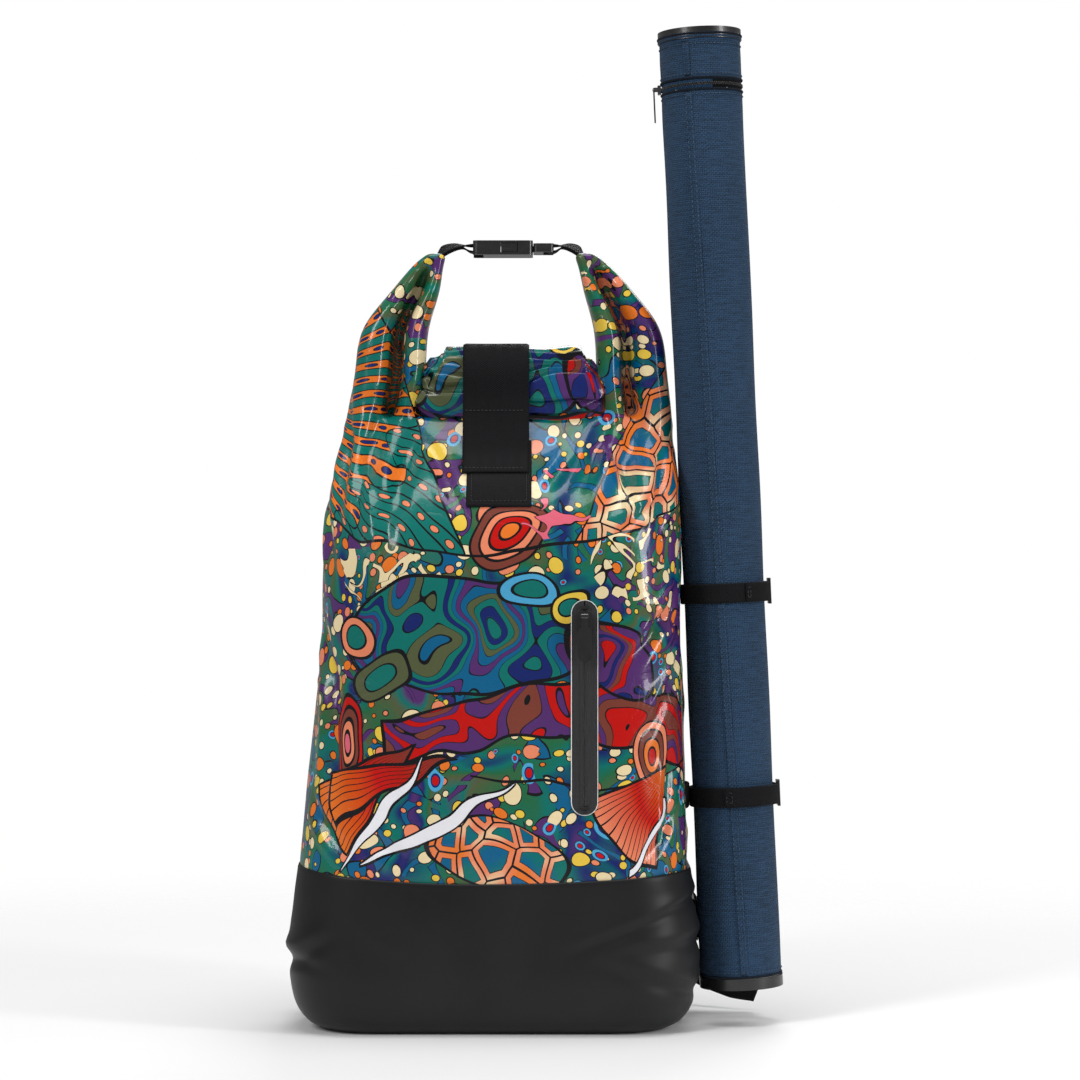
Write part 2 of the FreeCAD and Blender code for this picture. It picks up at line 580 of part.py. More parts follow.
def tube_anchor(name, height):
    """The webbing sewn to the bag's side that the tube strap passes through, right up to the strap."""
    lean_share = math.tan(math.radians(size("tube_lean")))
    ring_half = size("tube_radius") + size("rim_proud") + size("tube_strap_gap") + size("tube_strap_thick")
    heights = (height - size("anchor_tall") / 2, height + size("anchor_tall") / 2)
    touch = 0.1
    edge = size("tube_x") - (heights[1] - size("tube_rise")) * lean_share - ring_half - touch
    wide = size("anchor_wide")
    side_tab(f"tube_anchor_{name}", 1, heights, (edge, edge), wide, size("tube_y") - wide / 2)


def tri_glide(name, height):
    """A frame of three bars bent to the tube's curve, threaded by the strap and free to slide round it."""
    inner = "tube_radius + rim_proud + tube_strap_gap + tube_strap_thick + fit"
    tall = "glide_tall / 2"
    whole = ring(f"glide_ring_{name}", f"{inner} + 2.2", inner, f"-{tall}", tall)
    window_tall = "tube_strap_wide / 2 + 0.4"
    sector = box(f"glide_sector_{name}", ("2 * tube_radius", "glide_arc", "glide_tall + 2"),
                 ("0", "-glide_arc / 2", f"-{tall} - 1"))
    common = doc.addObject("Part::Common", f"glide_common_{name}")
    common.Base = whole
    common.Tool = sector
    gap = "(glide_arc - 3 * glide_bar) / 2"
    holes = [box(f"glide_hole_{name}_{n}", ("2 * tube_radius", gap, f"2 * ({window_tall})"),
                 ("0", y, f"-({window_tall})"))
             for n, y in enumerate((f"-glide_bar / 2 - {gap}", "glide_bar / 2"))]
    keep(strap_frame(cut(f"tri_glide_{name}", common, *holes), height), f"tri_glide_{name}")


# --- the back --------------------------------------------------------------------------------

def back_panel():
    middle = "panel_bottom + panel_tall / 2"
    keep(plate("back_panel", "XZ_Plane", ("0", middle, "-back - panel_thick / 2"), "panel_wide", "panel_tall",
               "24", "panel_thick"), "back_panel")
    pad_y = "-pad_face - pad_thick / 2"
    low = "(panel_bottom + pad_edge)"
    pad_z = f"({low} + lumbar_tall + pad_split + pad_tall / 2)"
    for label, side in (("back_pad_left", -1), ("back_pad_right", 1)):
        keep(plate(label, "XZ_Plane", (f"{side} * (pad_gap + pad_wide) / 2", pad_z, pad_y),
                   "pad_wide", "pad_tall", "16", "pad_thick"), label)
    keep(plate("lumbar_pad", "XZ_Plane", ("0", f"{low} + lumbar_tall / 2", pad_y), "pad_gap + 2 * pad_wide",
               "lumbar_tall", "16", "pad_thick"), "lumbar_pad")


def shoulder_strap(label, side):
    """A padded strap that leaves the yoke, bows away from the back and narrows to the adjuster."""
    mid_z = "(strap_top + strap_bottom) / 2"
    out = "pad_face + pad_thick + strap_thick / 2 + strap_bow"
    full = ("strap_thick", "5.5")
    thin = ("strap_thick - 3", "4")
    low_z = f"({mid_z} + strap_bottom) / 2"
    high_z = f"strap_top - (strap_top - {mid_z}) * 0.35"
    body = new_body(label)
    loft(body, "AdditiveLoft", [
        (f"{side} * (strap_spread + strap_drift)", f"{out} - 14", "strap_bottom", "strap_tip", *thin),
        (f"{side} * (strap_spread + strap_drift * 0.75)", out, low_z, "strap_wide - 6", *full),
        (f"{side} * (strap_spread + strap_drift * 0.3)", f"{out} + 4", mid_z, "strap_wide", *full),
        (f"{side} * strap_spread", f"{out} - 8", high_z, "strap_wide", *full),
        (f"{side} * strap_spread", f"{out} - 22", "strap_top", "strap_wide - 8", *thin)])
    keep(body, label)


def yoke():
    """The stiff tab, sewn to the top of the back panel, that both shoulder straps hang from."""
    bottom = size("strap_top")
    top_z = bottom + size("yoke_tall")
    face = size("pad_face")
    start = face + size("pad_thick") + size("strap_thick") / 2 + size("strap_bow") - 22
    for label, side in (("yoke_left", -1), ("yoke_right", 1)):
        points = [(face + 1.6, bottom - 22), (face + 1.6, bottom + 8), (face + 8, top_z - 10),
                  (start - 10, top_z - 8), (start, bottom + 6), (start, bottom + 0.1)]
        ribbon_part(label, points, 3, size("strap_wide") - 10, side * size("strap_spread"))


def haul_loop():
    """A short webbing grab loop between the shoulder straps."""
    face = size("pad_face")
    base = size("strap_top") - 8
    long, out = size("haul_long"), size("haul_rise")
    points = [(face + 1, base - long), (face + 1, base - long + 14), (face + out * 0.7, base - long * 0.72),
              (face + out, base - long / 2), (face + out * 0.7, base - long * 0.28), (face + 1, base - 14),
              (face + 1, base)]
    ribbon_part("haul_loop", points, size("web_thick"), size("haul_wide"), 0)


def ladder_lock(label, side):
    """The plastic adjuster at the end of a shoulder strap: a frame with three bars."""
    tall = "lock_tall"
    gap = "(lock_tall - 4 * web_bar) / 2"
    holes = [("0", f"({gap} + web_bar) / 2", "adjuster_wide + 2", gap, "0.8"),
             ("0", f"-({gap} + web_bar) / 2", "adjuster_wide + 2", gap, "0.8")]
    at = (f"{side} * (strap_spread + strap_drift)", "strap_bottom - 5 - lock_tall / 2",
          "-(pad_face + pad_thick + strap_thick / 2 + strap_bow - 14)")
    keep(plate(label, "XZ_Plane", at, "lock_wide", tall, "4", "lock_thick", holes), label)


def lock_web(label, side):
    """The short webbing that joins a padded strap to its ladder lock."""
    y = size("pad_face") + size("pad_thick") + size("strap_thick") / 2 + size("strap_bow") - 14
    top = size("strap_bottom")
    gap = (size("lock_tall") - 4 * size("web_bar")) / 2
    hole = top - 5 - size("lock_tall") / 2 + (gap + size("web_bar")) / 2
    thick = size("web_thick")
    reach = size("lock_thick") / 2 + size("fit") + thick / 2
    points = [(y - reach, top - 0.1), (y - reach, hole), (y + reach, hole), (y + reach, top - 0.1)]
    middle = side * (size("strap_spread") + size("strap_drift"))
    ribbon_part(label, points, thick, size("adjuster_wide"), middle)


def anchor_wing(label, side):
    """The tab, sewn low on the bag's side, that the adjuster webbing starts from."""
    heights = (size("wing_rise"), size("wing_rise") + size("wing_tall"))
    outer = [side_x(z) + size("wing_thick") for z in heights]
    side_tab(label, side, heights, outer, size("wing_wide"), size("wing_y"))


def webbing(label, stations, wide, thick):
    """Flat webbing that bends and twists. A station is a middle, its width's direction and its face's."""
    wires = []
    for middle, across, facing in stations:
        across, facing = V(*across).normalize() * (wide / 2), V(*facing).normalize() * (thick / 2)
        corners = [V(*middle) + across * a + facing * f for a, f in ((-1, -1), (1, -1), (1, 1), (-1, 1))]
        wires.append(Part.makePolygon(corners + corners[:1]))
    feature = doc.addObject("Part::Feature", label)
    feature.Shape = Part.makeLoft(wires, True, True)
    feature.Placement = FreeCAD.Placement(V(0, 0, 0), FreeCAD.Rotation())
    return keep(feature, label)


def adjuster_webbing(name, side):
    """Webbing from the wing to the ladder lock, and its free tail from the lock down past the base."""
    thick, wide = size("web_thick"), size("adjuster_wide")
    lock_x = size("strap_spread") + size("strap_drift")
    lock_y = size("pad_face") + size("pad_thick") + size("strap_thick") / 2 + size("strap_bow") - 14
    lock_z = size("strap_bottom") - 5 - size("lock_tall") / 2
    face = size("lock_thick") / 2 + thick
    back = size("back")
    start_z = size("wing_rise") + size("wing_tall") / 2
    start_x = side_x(start_z - wide / 2) + size("wing_thick") + thick / 2 + 0.1
    start_y = size("wing_y") + size("wing_wide")
    webbing(f"adjuster_webbing_{name}", [
        ((side * start_x, start_y - 14, start_z), (0, 0, 1), (side, 0, 0)),
        ((side * (start_x + 0.2), start_y + 8, start_z + 2), (0, -0.1, 1), (side, 0.2, 0)),
        ((side * (start_x - 14), back - 2, start_z + 14), (side * 0.3, -0.35, 1), (side, 0.9, 0.1)),
        ((side * (lock_x + 34), back + 24, start_z + 42), (side * 0.8, -0.3, 0.8), (side * 0.7, 1, -0.2)),
        ((side * (lock_x + 6), lock_y - 5, lock_z - 22), (side, 0, 0.2), (side * 0.1, 1, -0.3)),
        ((side * lock_x, lock_y - face, lock_z - 6), (side, 0, 0), (0, 1, 0))], wide, thick)
    tails = {"right": [(14, -6, -52), (46, -16, -92), (84, -36, -126), (116, -58, -139), (122, -64, -140)],
             "left": [(6, -2, -44), (20, -8, -84), (44, -18, -118), (70, -30, -134)]}
    stations = [((side * lock_x, lock_y + face, lock_z - 4), (side, 0, 0), (0, 1, 0)),
                ((side * (lock_x + 3), lock_y + face, lock_z - 22), (side, 0, -0.1), (0, 1, 0.1))]
    steps = tails[name]
    for (dx, dy, dz), turn in zip(steps, (0.35, 0.7, 1.3, 2.2, 2.6)):
        stations.append(((side * (lock_x + dx), lock_y + face + dy, lock_z + dz),
                         (side, -0.1, turn), (side * 0.4, 1, 0.1)))
    webbing(f"webbing_tail_{name}", stations, wide, thick)


for build in (base_boot, body_shell, rolled_mouth):
    build()
ear("ear_left", -1)
ear("ear_right", 1)
slot_reach = "(buckle_long / 2 - web_bar - slot / 2 - web_thick / 2)"
web_loop("handle_webbing_left", "ear_x - ear_span / 2 - 2", f"buckle_x - {slot_reach}")
web_loop("handle_webbing_right", f"buckle_x + {slot_reach}", "ear_x + ear_span / 2 + 2")
buckle_female()
buckle_male()
prong("prong_front", -1)
prong("prong_rear", 1)
closure_strap()
front_zip()
rod_tube()
tube_zip()
for place_name, height_name in (("upper", "upper_strap"), ("lower", "lower_strap")):
    tube_strap(place_name, height_name)
    tube_anchor(place_name, size(height_name))
    tri_glide(place_name, height_name)
back_panel()
yoke()
haul_loop()
for side_name, sign in (("left", -1), ("right", 1)):
    shoulder_strap(f"shoulder_strap_{side_name}", sign)
    ladder_lock(f"ladder_lock_{side_name}", sign)
    lock_web(f"lock_web_{side_name}", sign)
    anchor_wing(f"anchor_wing_{side_name}", sign)
    adjuster_webbing(side_name, sign)

doc.recompute()
failed = [thing.Name for thing in doc.Objects if "Invalid" in thing.State or "Error" in thing.State]
if failed:
    raise RuntimeError(f"these objects failed: {failed}")
for thing in SUBPARTS:
    if thing.Shape.isNull() or not thing.Shape.isValid():
        raise RuntimeError(f"{thing.Label} has no valid shape")

os.makedirs("parts", exist_ok=True)
for thing in SUBPARTS:
    thing.Shape.exportStep(f"parts/{thing.Label}.step")
    bounds = thing.Shape.BoundBox
    print(f"{thing.Label:24s} {len(thing.Shape.Solids)} {thing.Shape.Volume / 1000:9.2f} cm3 "
          f"x {bounds.XMin:7.1f} {bounds.XMax:7.1f} y {bounds.YMin:7.1f} {bounds.YMax:7.1f} "
          f"z {bounds.ZMin:7.1f} {bounds.ZMax:7.1f}")
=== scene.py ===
# %% [markdown]
# # A roll-top tackle backpack with a rod tube
# The design of the pack is already settled elsewhere: every rigid part, every joint and every size arrives
# as a fixed frame of solids. This lesson dresses that frame. Soft pieces get new meshes in the space of
# their plain solids, and the hard pieces keep their meshes and get better finishes.

# %% Load the frame
import json
import math
from functools import partialmethod
import bpy
import bmesh
import numpy as np
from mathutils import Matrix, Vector, noise
from mathutils.bvhtree import BVHTree


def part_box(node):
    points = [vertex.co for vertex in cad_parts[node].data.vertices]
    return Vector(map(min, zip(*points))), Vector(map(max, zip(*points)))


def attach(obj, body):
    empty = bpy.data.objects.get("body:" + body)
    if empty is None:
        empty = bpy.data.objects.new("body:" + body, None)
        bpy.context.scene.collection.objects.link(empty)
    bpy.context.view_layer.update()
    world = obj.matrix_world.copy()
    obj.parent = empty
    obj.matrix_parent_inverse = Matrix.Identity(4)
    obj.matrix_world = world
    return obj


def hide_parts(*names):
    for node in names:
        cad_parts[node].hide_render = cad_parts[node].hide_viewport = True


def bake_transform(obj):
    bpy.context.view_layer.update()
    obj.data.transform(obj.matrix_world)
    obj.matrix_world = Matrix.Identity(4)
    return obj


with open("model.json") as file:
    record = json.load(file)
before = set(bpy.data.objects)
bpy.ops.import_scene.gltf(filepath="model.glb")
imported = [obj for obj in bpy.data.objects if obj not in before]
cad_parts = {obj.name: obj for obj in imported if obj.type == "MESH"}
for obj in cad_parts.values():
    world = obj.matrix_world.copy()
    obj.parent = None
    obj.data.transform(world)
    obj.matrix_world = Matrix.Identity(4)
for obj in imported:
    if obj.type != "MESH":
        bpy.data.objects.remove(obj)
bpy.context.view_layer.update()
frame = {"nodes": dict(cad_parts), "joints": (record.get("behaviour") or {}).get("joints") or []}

# %% [markdown]
# ## Camera
# The pack is looked at straight from the front, from half its height. A long lens from 2.6 m away keeps the
# tube and the sides upright, as a product shot does. The lens follows from how wide the view is at the pack.

# %% Camera
VIEW_WIDTH = 0.882
VIEW_MIDDLE = Vector((0.0368, 0.0, 0.394))
CAMERA_AWAY = 2.6
camera_data = bpy.data.cameras.new("camera")
camera_data.sensor_width = 36
camera_data.lens = camera_data.sensor_width * CAMERA_AWAY / VIEW_WIDTH
camera = bpy.data.objects.new("camera", camera_data)
camera.location = VIEW_MIDDLE + Vector((0, -CAMERA_AWAY, 0))
camera.rotation_euler = (math.radians(90), 0, 0)
bpy.context.collection.objects.link(camera)
bpy.context.scene.camera = camera
bpy.context.scene.view_settings.view_transform = "Standard"
print("lens", round(camera_data.lens), "mm")

# %% [markdown]
# ## Node helpers
# A finish is a small tree of nodes. Adding the nodes by hand takes a lot of lines, so one helper adds a node
# with its settings and inputs in one go, and a class writes sums of Math nodes the way they are written on
# paper.


# %% Node helpers
def socket_of(value):
    return value.socket if isinstance(value, Field) else value


def add_node(tree, kind, inputs=(), **settings):
    """A node of a kind. Inputs are (socket name or number, value, socket or Field)."""
    node = tree.nodes.new("ShaderNode" + kind)
    for name, value in settings.items():
        setattr(node, name, value)
    for name, value in inputs:
        value = socket_of(value)
        if isinstance(value, bpy.types.NodeSocket):
            tree.links.new(value, node.inputs[name])
        else:
            node.inputs[name].default_value = value
    return node


class Field:
    """A number that changes over the surface. Sums, products and comparisons become Math nodes."""

    def __init__(self, tree, socket):
        self.tree, self.socket = tree, socket

    def math(self, operation, *others):
        values = [self.socket] + [o.socket if isinstance(o, Field) else float(o) for o in others]
        node = add_node(self.tree, "Math", enumerate(values), operation=operation)
        return Field(self.tree, node.outputs[0])

    def inside(self, half):
        """1 where the number is closer to zero than half."""
        return abs(self) < half

    def smooth(self, low, high):
        """0 below low, 1 above high, with a soft step between them."""
        node = add_node(self.tree, "MapRange", ((0, self.socket), (1, float(low)), (2, float(high))),
                        interpolation_type="SMOOTHSTEP")
        return Field(self.tree, node.outputs[0])


MATH_NODES = {
    "__add__": "ADD", "__sub__": "SUBTRACT", "__mul__": "MULTIPLY", "__truediv__": "DIVIDE",
    "__lt__": "LESS_THAN", "__gt__": "GREATER_THAN", "__abs__": "ABSOLUTE", "power": "POWER",
    "sine": "SINE", "fraction": "FRACT", "either": "MAXIMUM",
}
for method, operation in MATH_NODES.items():
    setattr(Field, method, partialmethod(Field.math, operation))


def new_group(name, inputs, outputs):
    """A shader node group with named sockets. Returns its tree, its input node and its output node."""
    tree = bpy.data.node_groups.new(name, "ShaderNodeTree")
    for kind, sockets in (("INPUT", inputs), ("OUTPUT", outputs)):
        for label, socket_type, *value in sockets:
            socket = tree.interface.new_socket(label, in_out=kind, socket_type="NodeSocket" + socket_type)
            if value:
                socket.default_value = value[0]
    return tree, tree.nodes.new("NodeGroupInput"), tree.nodes.new("NodeGroupOutput")


def use_group(tree, group, **inputs):
    named = [(label.replace("_", " "), value) for label, value in inputs.items()]
    return add_node(tree, "Group", named, node_tree=group)


def rgba(colour):
    """A socket as it is, or an ink's name or (r, g, b) with its alpha."""
    if isinstance(colour, bpy.types.NodeSocket):
        return colour
    return (*(INK[colour] if isinstance(colour, str) else colour), 1)


def paint(tree, under, over, mask):
    """One colour laid over another where the mask is 1."""
    layers = ((0, mask), (6, rgba(under)), (7, rgba(over)))
    return add_node(tree, "Mix", layers, data_type="RGBA").outputs[2]


def ramp(tree, factor, stops, interpolation="LINEAR"):
    """A Color Ramp. Stops are (position, colour)."""
    node = add_node(tree, "ValToRGB", ((0, factor),))
    node.color_ramp.interpolation = interpolation
    elements = node.color_ramp.elements
    while len(elements) < len(stops):
        elements.new(1.0)
    for element, (position, colour) in zip(elements, stops):
        element.position = position
        element.color = rgba(colour)
    return node.outputs[0]


def split(tree, vector):
    """The three numbers of a vector."""
    parts = add_node(tree, "SeparateXYZ", ((0, vector),))
    return [Field(tree, parts.outputs[n]) for n in range(3)]


def noise_field(tree, vector, scale, detail=2.0, distortion=0.0, output=0):
    node = add_node(tree, "TexNoise", (("Vector", vector), ("Scale", scale), ("Detail", detail),
                                       ("Distortion", distortion)))
    return Field(tree, node.outputs[output])


# %% [markdown]
# ## Shared effects
# Three effects come back in many finishes: a weave of threads, the ribs of woven webbing, and a grain with
# soft smudges. Each is a node group with named inputs, built once. A group gives only masks, heights and
# painted shade, because the shader itself stays in the material.


# %% Weave group
def weave_group():
    """Threads over and under each other. Pitch is threads per metre. The shade output is painted shade:
    lighter on the thread tops, darker in the gaps between them.
    """
    tree, given, out = new_group("weave",
                                 [("Vector", "Vector"), ("Pitch", "Float", 900.0),
                                  ("Unevenness", "Float", 0.4)],
                                 [("Height", "Float"), ("Shade", "Float")])
    turn = Field(tree, given.outputs["Pitch"]) * math.pi
    x, y = (part * turn for part in split(tree, given.outputs["Vector"])[:2])
    warp, weft = abs(x.sine()), abs(y.sine())
    over = (x.sine() * y.sine() > 0).smooth(0, 1)
    height = warp * over + weft * (over * -1 + 1)
    share = Field(tree, given.outputs["Unevenness"])
    height = height + (noise_field(tree, given.outputs["Vector"], 420, 3) - 0.5) * share
    tree.links.new(height.socket, out.inputs["Height"])
    # Painted shade: lighter on the thread tops, darker in the gaps between the threads.
    tree.links.new((height * 0.5 + 0.5).socket, out.inputs["Shade"])
    return tree


weave = weave_group()


# %% Webbing group
def ribs_group():
    """Woven webbing: herringbone ribs that run along the strap, in metres along its own UV map. The shade
    output is painted shade: rib tops lighter, the grooves between them darker.
    """
    tree, given, out = new_group("webbing_ribs", [("Vector", "Vector"), ("Pitch", "Float", 620.0)],
                                 [("Height", "Float"), ("Shade", "Float")])
    across, along, _ = split(tree, given.outputs["Vector"])
    turn = Field(tree, given.outputs["Pitch"])
    zigzag = abs((across * turn * 0.16).fraction() - 0.5) * 2
    rib = abs(((along * turn + zigzag * 2.2) * math.pi).sine())
    fuzz = noise_field(tree, given.outputs["Vector"], 700, 4)
    height = rib * 0.8 + fuzz * 0.35
    tree.links.new(height.socket, out.inputs["Height"])
    # Painted shade from the rib height: grooves darker, rib tops lighter.
    tree.links.new((height * 0.7 + 0.45).socket, out.inputs["Shade"])
    return tree


ribs = ribs_group()


# %% Grain group
def grain_group():
    """Fine moulded grain with broad soft smudges. Smudge is for colour and roughness, Height for bump."""
    tree, given, out = new_group("grain",
                                 [("Vector", "Vector"), ("Grain", "Float", 1400.0),
                                  ("Smudge size", "Float", 22.0)],
                                 [("Height", "Float"), ("Smudge", "Float"), ("Scratches", "Float")])
    fine = add_node(tree, "TexNoise", (("Vector", given.outputs["Vector"]), ("Scale", given.outputs["Grain"]),
                                       ("Detail", 3.0)))
    broad = add_node(tree, "TexNoise",
                     (("Vector", given.outputs["Vector"]), ("Scale", given.outputs["Smudge size"]),
                                        ("Detail", 4.0), ("Distortion", 0.6)))
    stretched = add_node(tree, "Mapping", ((0, given.outputs["Vector"]), ("Scale", (40, 40, 900))))
    lines = noise_field(tree, stretched.outputs[0], 1.0, 2)
    tree.links.new(fine.outputs[0], out.inputs["Height"])
    tree.links.new(broad.outputs[0], out.inputs["Smudge"])
    tree.links.new(lines.smooth(0.60, 0.72).socket, out.inputs["Scratches"])
    return tree


grain = grain_group()
print("groups:", [g.name for g in bpy.data.node_groups])

# %% [markdown]
# ## The print
# The bag's cloth carries a loud print in drawn black lines: pebbles with halos, squiggles, striped fans and
# patchwork on teal, green and navy. It is drawn here as flat geometry on the cloth, in metres: x runs round
# the bag from the middle of the front, and z is the height. A shape is a signed distance, below zero inside,
# so its outline is simply where that distance is near zero. Every motif is this lesson's own.

# %% Inks
INK = {
    "black": (0.004, 0.004, 0.006), "teal": (0.006, 0.155, 0.13), "green": (0.02, 0.13, 0.055),
    "olive": (0.085, 0.10, 0.045), "navy": (0.012, 0.022, 0.13), "purple": (0.085, 0.03, 0.14),
    "cream": (0.82, 0.68, 0.42), "orange": (0.78, 0.21, 0.06), "salmon": (0.80, 0.27, 0.16),
    "pink": (0.72, 0.16, 0.22), "yellow": (0.78, 0.55, 0.10), "sky": (0.10, 0.38, 0.62),
    "red": (0.52, 0.02, 0.018), "brown": (0.19, 0.05, 0.035), "white": (0.80, 0.80, 0.84),
    "blue": (0.006, 0.11, 0.24),
}
LINE = 0.0008


class Drawing:
    """A picture on the flat print, painted from the ground up with inks."""

    def __init__(self, tree, flat, picture):
        self.tree, self.flat, self.picture = tree, flat, picture
        self.x, self.z, _ = split(tree, flat)

    def fill(self, ink, mask):
        self.picture = paint(self.tree, self.picture, ink, mask)

    def line(self, distance, half=LINE):
        """A black line where the distance is near zero."""
        self.fill("black", distance.inside(half))


def outlined(draw, colour, distance, line=LINE):
    """Fills where the distance is below zero and draws a black line along its edge."""
    draw.fill(colour, distance < 0)
    draw.line(distance, line)


def half_plane(x, z, at, degrees):
    """Distance from a straight line through a point. Negative on the line's right."""
    turn = math.radians(degrees)
    return (z - at[1]) * math.cos(turn) - (x - at[0]) * math.sin(turn)


def ellipse(x, z, at, size, degrees=0.0):
    """Distance from an ellipse, good enough near its edge."""
    turn = math.radians(degrees)
    dx, dz = x - at[0], z - at[1]
    u = (dx * math.cos(turn) + dz * math.sin(turn)) / size[0]
    v = (dz * math.cos(turn) - dx * math.sin(turn)) / size[1]
    return ((u * u + v * v).power(0.5) - 1) * min(size)


def polar(x, z, at):
    """Distance from a point, and the direction from it in turns from 0 to 1."""
    dx, dz = x - at[0], z - at[1]
    angle = dz.math("ARCTAN2", dx) / math.tau + 0.5
    return (dx * dx + dz * dz).power(0.5), angle


# %% Motifs: pebbles
def pebbles(draw, scale, least, most, share=1.0):
    """Scattered pebbles of many colours, outlined, some with a sky-blue halo and a red middle."""
    cells = add_node(draw.tree, "TexVoronoi", (("Vector", draw.flat), ("Scale", scale), ("Randomness", 0.8)),
                     voronoi_dimensions="2D")
    parts = add_node(draw.tree, "SeparateColor", ((0, cells.outputs["Color"]),))
    chance, tint, kind = (Field(draw.tree, parts.outputs[n]) for n in range(3))
    distance = Field(draw.tree, cells.outputs["Distance"])
    radius = (chance * (most - least) + least) - (kind > share)
    stops = ((0.0, "cream"), (0.22, "orange"), (0.42, "yellow"), (0.58, "salmon"), (0.74, "cream"),
             (0.88, "pink"))
    colours = ramp(draw.tree, tint, stops, "CONSTANT")
    line = LINE * scale
    draw.fill("black", distance < radius + line)
    draw.fill(colours, distance < radius)
    halo = (tint > 0.86) * (distance < radius * 1.15)
    draw.fill("sky", halo)
    draw.fill("navy", halo * (distance < radius * 0.72))
    draw.fill("red", halo * (distance < radius * 0.5))


def agate(draw, scale, layers, colours, distance):
    """Bands of stone like the rings of an agate, with a drawn line between the bands."""
    height = noise_field(draw.tree, draw.flat, scale, 0.0, 0.9)
    step = 1 / layers
    stops = [(n * step, colours[n % len(colours)]) for n in range(layers)]
    within = distance < 0
    draw.fill(ramp(draw.tree, height, stops, "CONSTANT"), within)
    line = abs((height * layers).fraction() - 0.5) > 0.455
    draw.fill("black", within * line)
    draw.line(distance, LINE * 1.6)


# %% Motifs: squiggles
def squiggles(draw, scale, width, colour, mask):
    """Worm-like strokes along the contour lines of a noise, only where the mask is 1."""
    wave = noise_field(draw.tree, draw.flat, scale, 0.0, 1.1) - 0.5
    cut = noise_field(draw.tree, draw.flat, scale * 0.7, 0.0) - 0.5
    stroke = (abs(wave) - width).either((abs(cut) * -1 + 0.035) * 3)
    draw.fill("black", (stroke < 0.016) * mask)
    draw.fill(colour, (stroke < 0) * mask)


# %% Motifs: fans, arches and patchwork
def fan(draw, at, reach, first, last, stripes, colours):
    """A sector of stripes that spread from a point, between two directions in turns."""
    away, turn = polar(draw.x, draw.z, at)
    sector = ((turn * -1 + first).either(turn - last) * away * 6.0).either(away - reach)
    fill = ramp(draw.tree, away / reach, [(0.0, colours[0]), (0.55, colours[1]), (1.0, colours[2])])
    stripe = abs((turn * stripes).fraction() - 0.5) - 0.42
    draw.fill(fill, sector < 0)
    draw.fill("black", (sector < 0) * (stripe > 0))
    draw.line(sector, LINE * 1.5)


def arches(draw, at, size, degrees, colours):
    """Nested arches, each a smaller oval in the next colour."""
    for number, colour in enumerate(colours):
        shrink = 1 - number / len(colours)
        oval = ellipse(draw.x, draw.z, at, (size[0] * shrink, size[1] * shrink), degrees)
        outlined(draw, colour, oval)


def patchwork(draw, scale, distance):
    """Orange bands with dark rounded windows, inside a shape."""
    cells = add_node(draw.tree, "TexVoronoi", (("Vector", draw.flat), ("Scale", scale), ("Randomness", 0.65)),
                     voronoi_dimensions="2D", feature="DISTANCE_TO_EDGE")
    edge = Field(draw.tree, cells.outputs["Distance"])
    shade = noise_field(draw.tree, draw.flat, 30, 1)
    warm = ramp(draw.tree, shade, [(0.35, "orange"), (0.5, "salmon"), (0.65, "cream")])
    within = distance < 0
    draw.fill(warm, within)
    draw.fill("black", within * (edge > 0.20))
    cool = ramp(draw.tree, shade, [(0.4, "blue"), (0.6, "teal")])
    draw.fill(cool, within * (edge > 0.225))
    draw.fill("black", within * (edge < 0.035))
    draw.line(distance)


def rays(draw, at, distance):
    """Curved stripes that fan out from a point, orange and teal in turn, and further out teal with spots."""
    away, turn = polar(draw.x, draw.z, at)
    count = turn * 116 + (away * 24).sine() * 1.6
    across = count.fraction() - 0.5
    warm = (count * 0.5).fraction() < 0.5
    along = (away * 62 + count.math("FLOOR") * 0.37).fraction() - 0.5
    spot = (across * across * 1.3 + along * along).power(0.5)
    near = (away + (turn * 120).sine() * 0.014) - 0.150
    within = distance < 0
    draw.fill("teal", within)
    draw.fill("salmon", within * (spot < 0.25) * warm)
    draw.fill("orange", within * (near < 0) * warm)
    draw.fill("navy", within * (near < 0) * (spot < 0.27) * warm)
    draw.fill("black", within * near.inside(LINE))
    draw.fill("black", within * (spot - 0.26).inside(0.03) * warm)
    draw.fill("black", within * (abs(across) > 0.43))
    draw.line(distance)


# %% [markdown]
# The motifs are laid over each other from the ground colours up. The composition repeats every 0.41 m, so
# the back carries the same print as the front, with the join down the sides, as on a bag made of two printed
# panels.

# %% The whole print
PANEL = 0.205


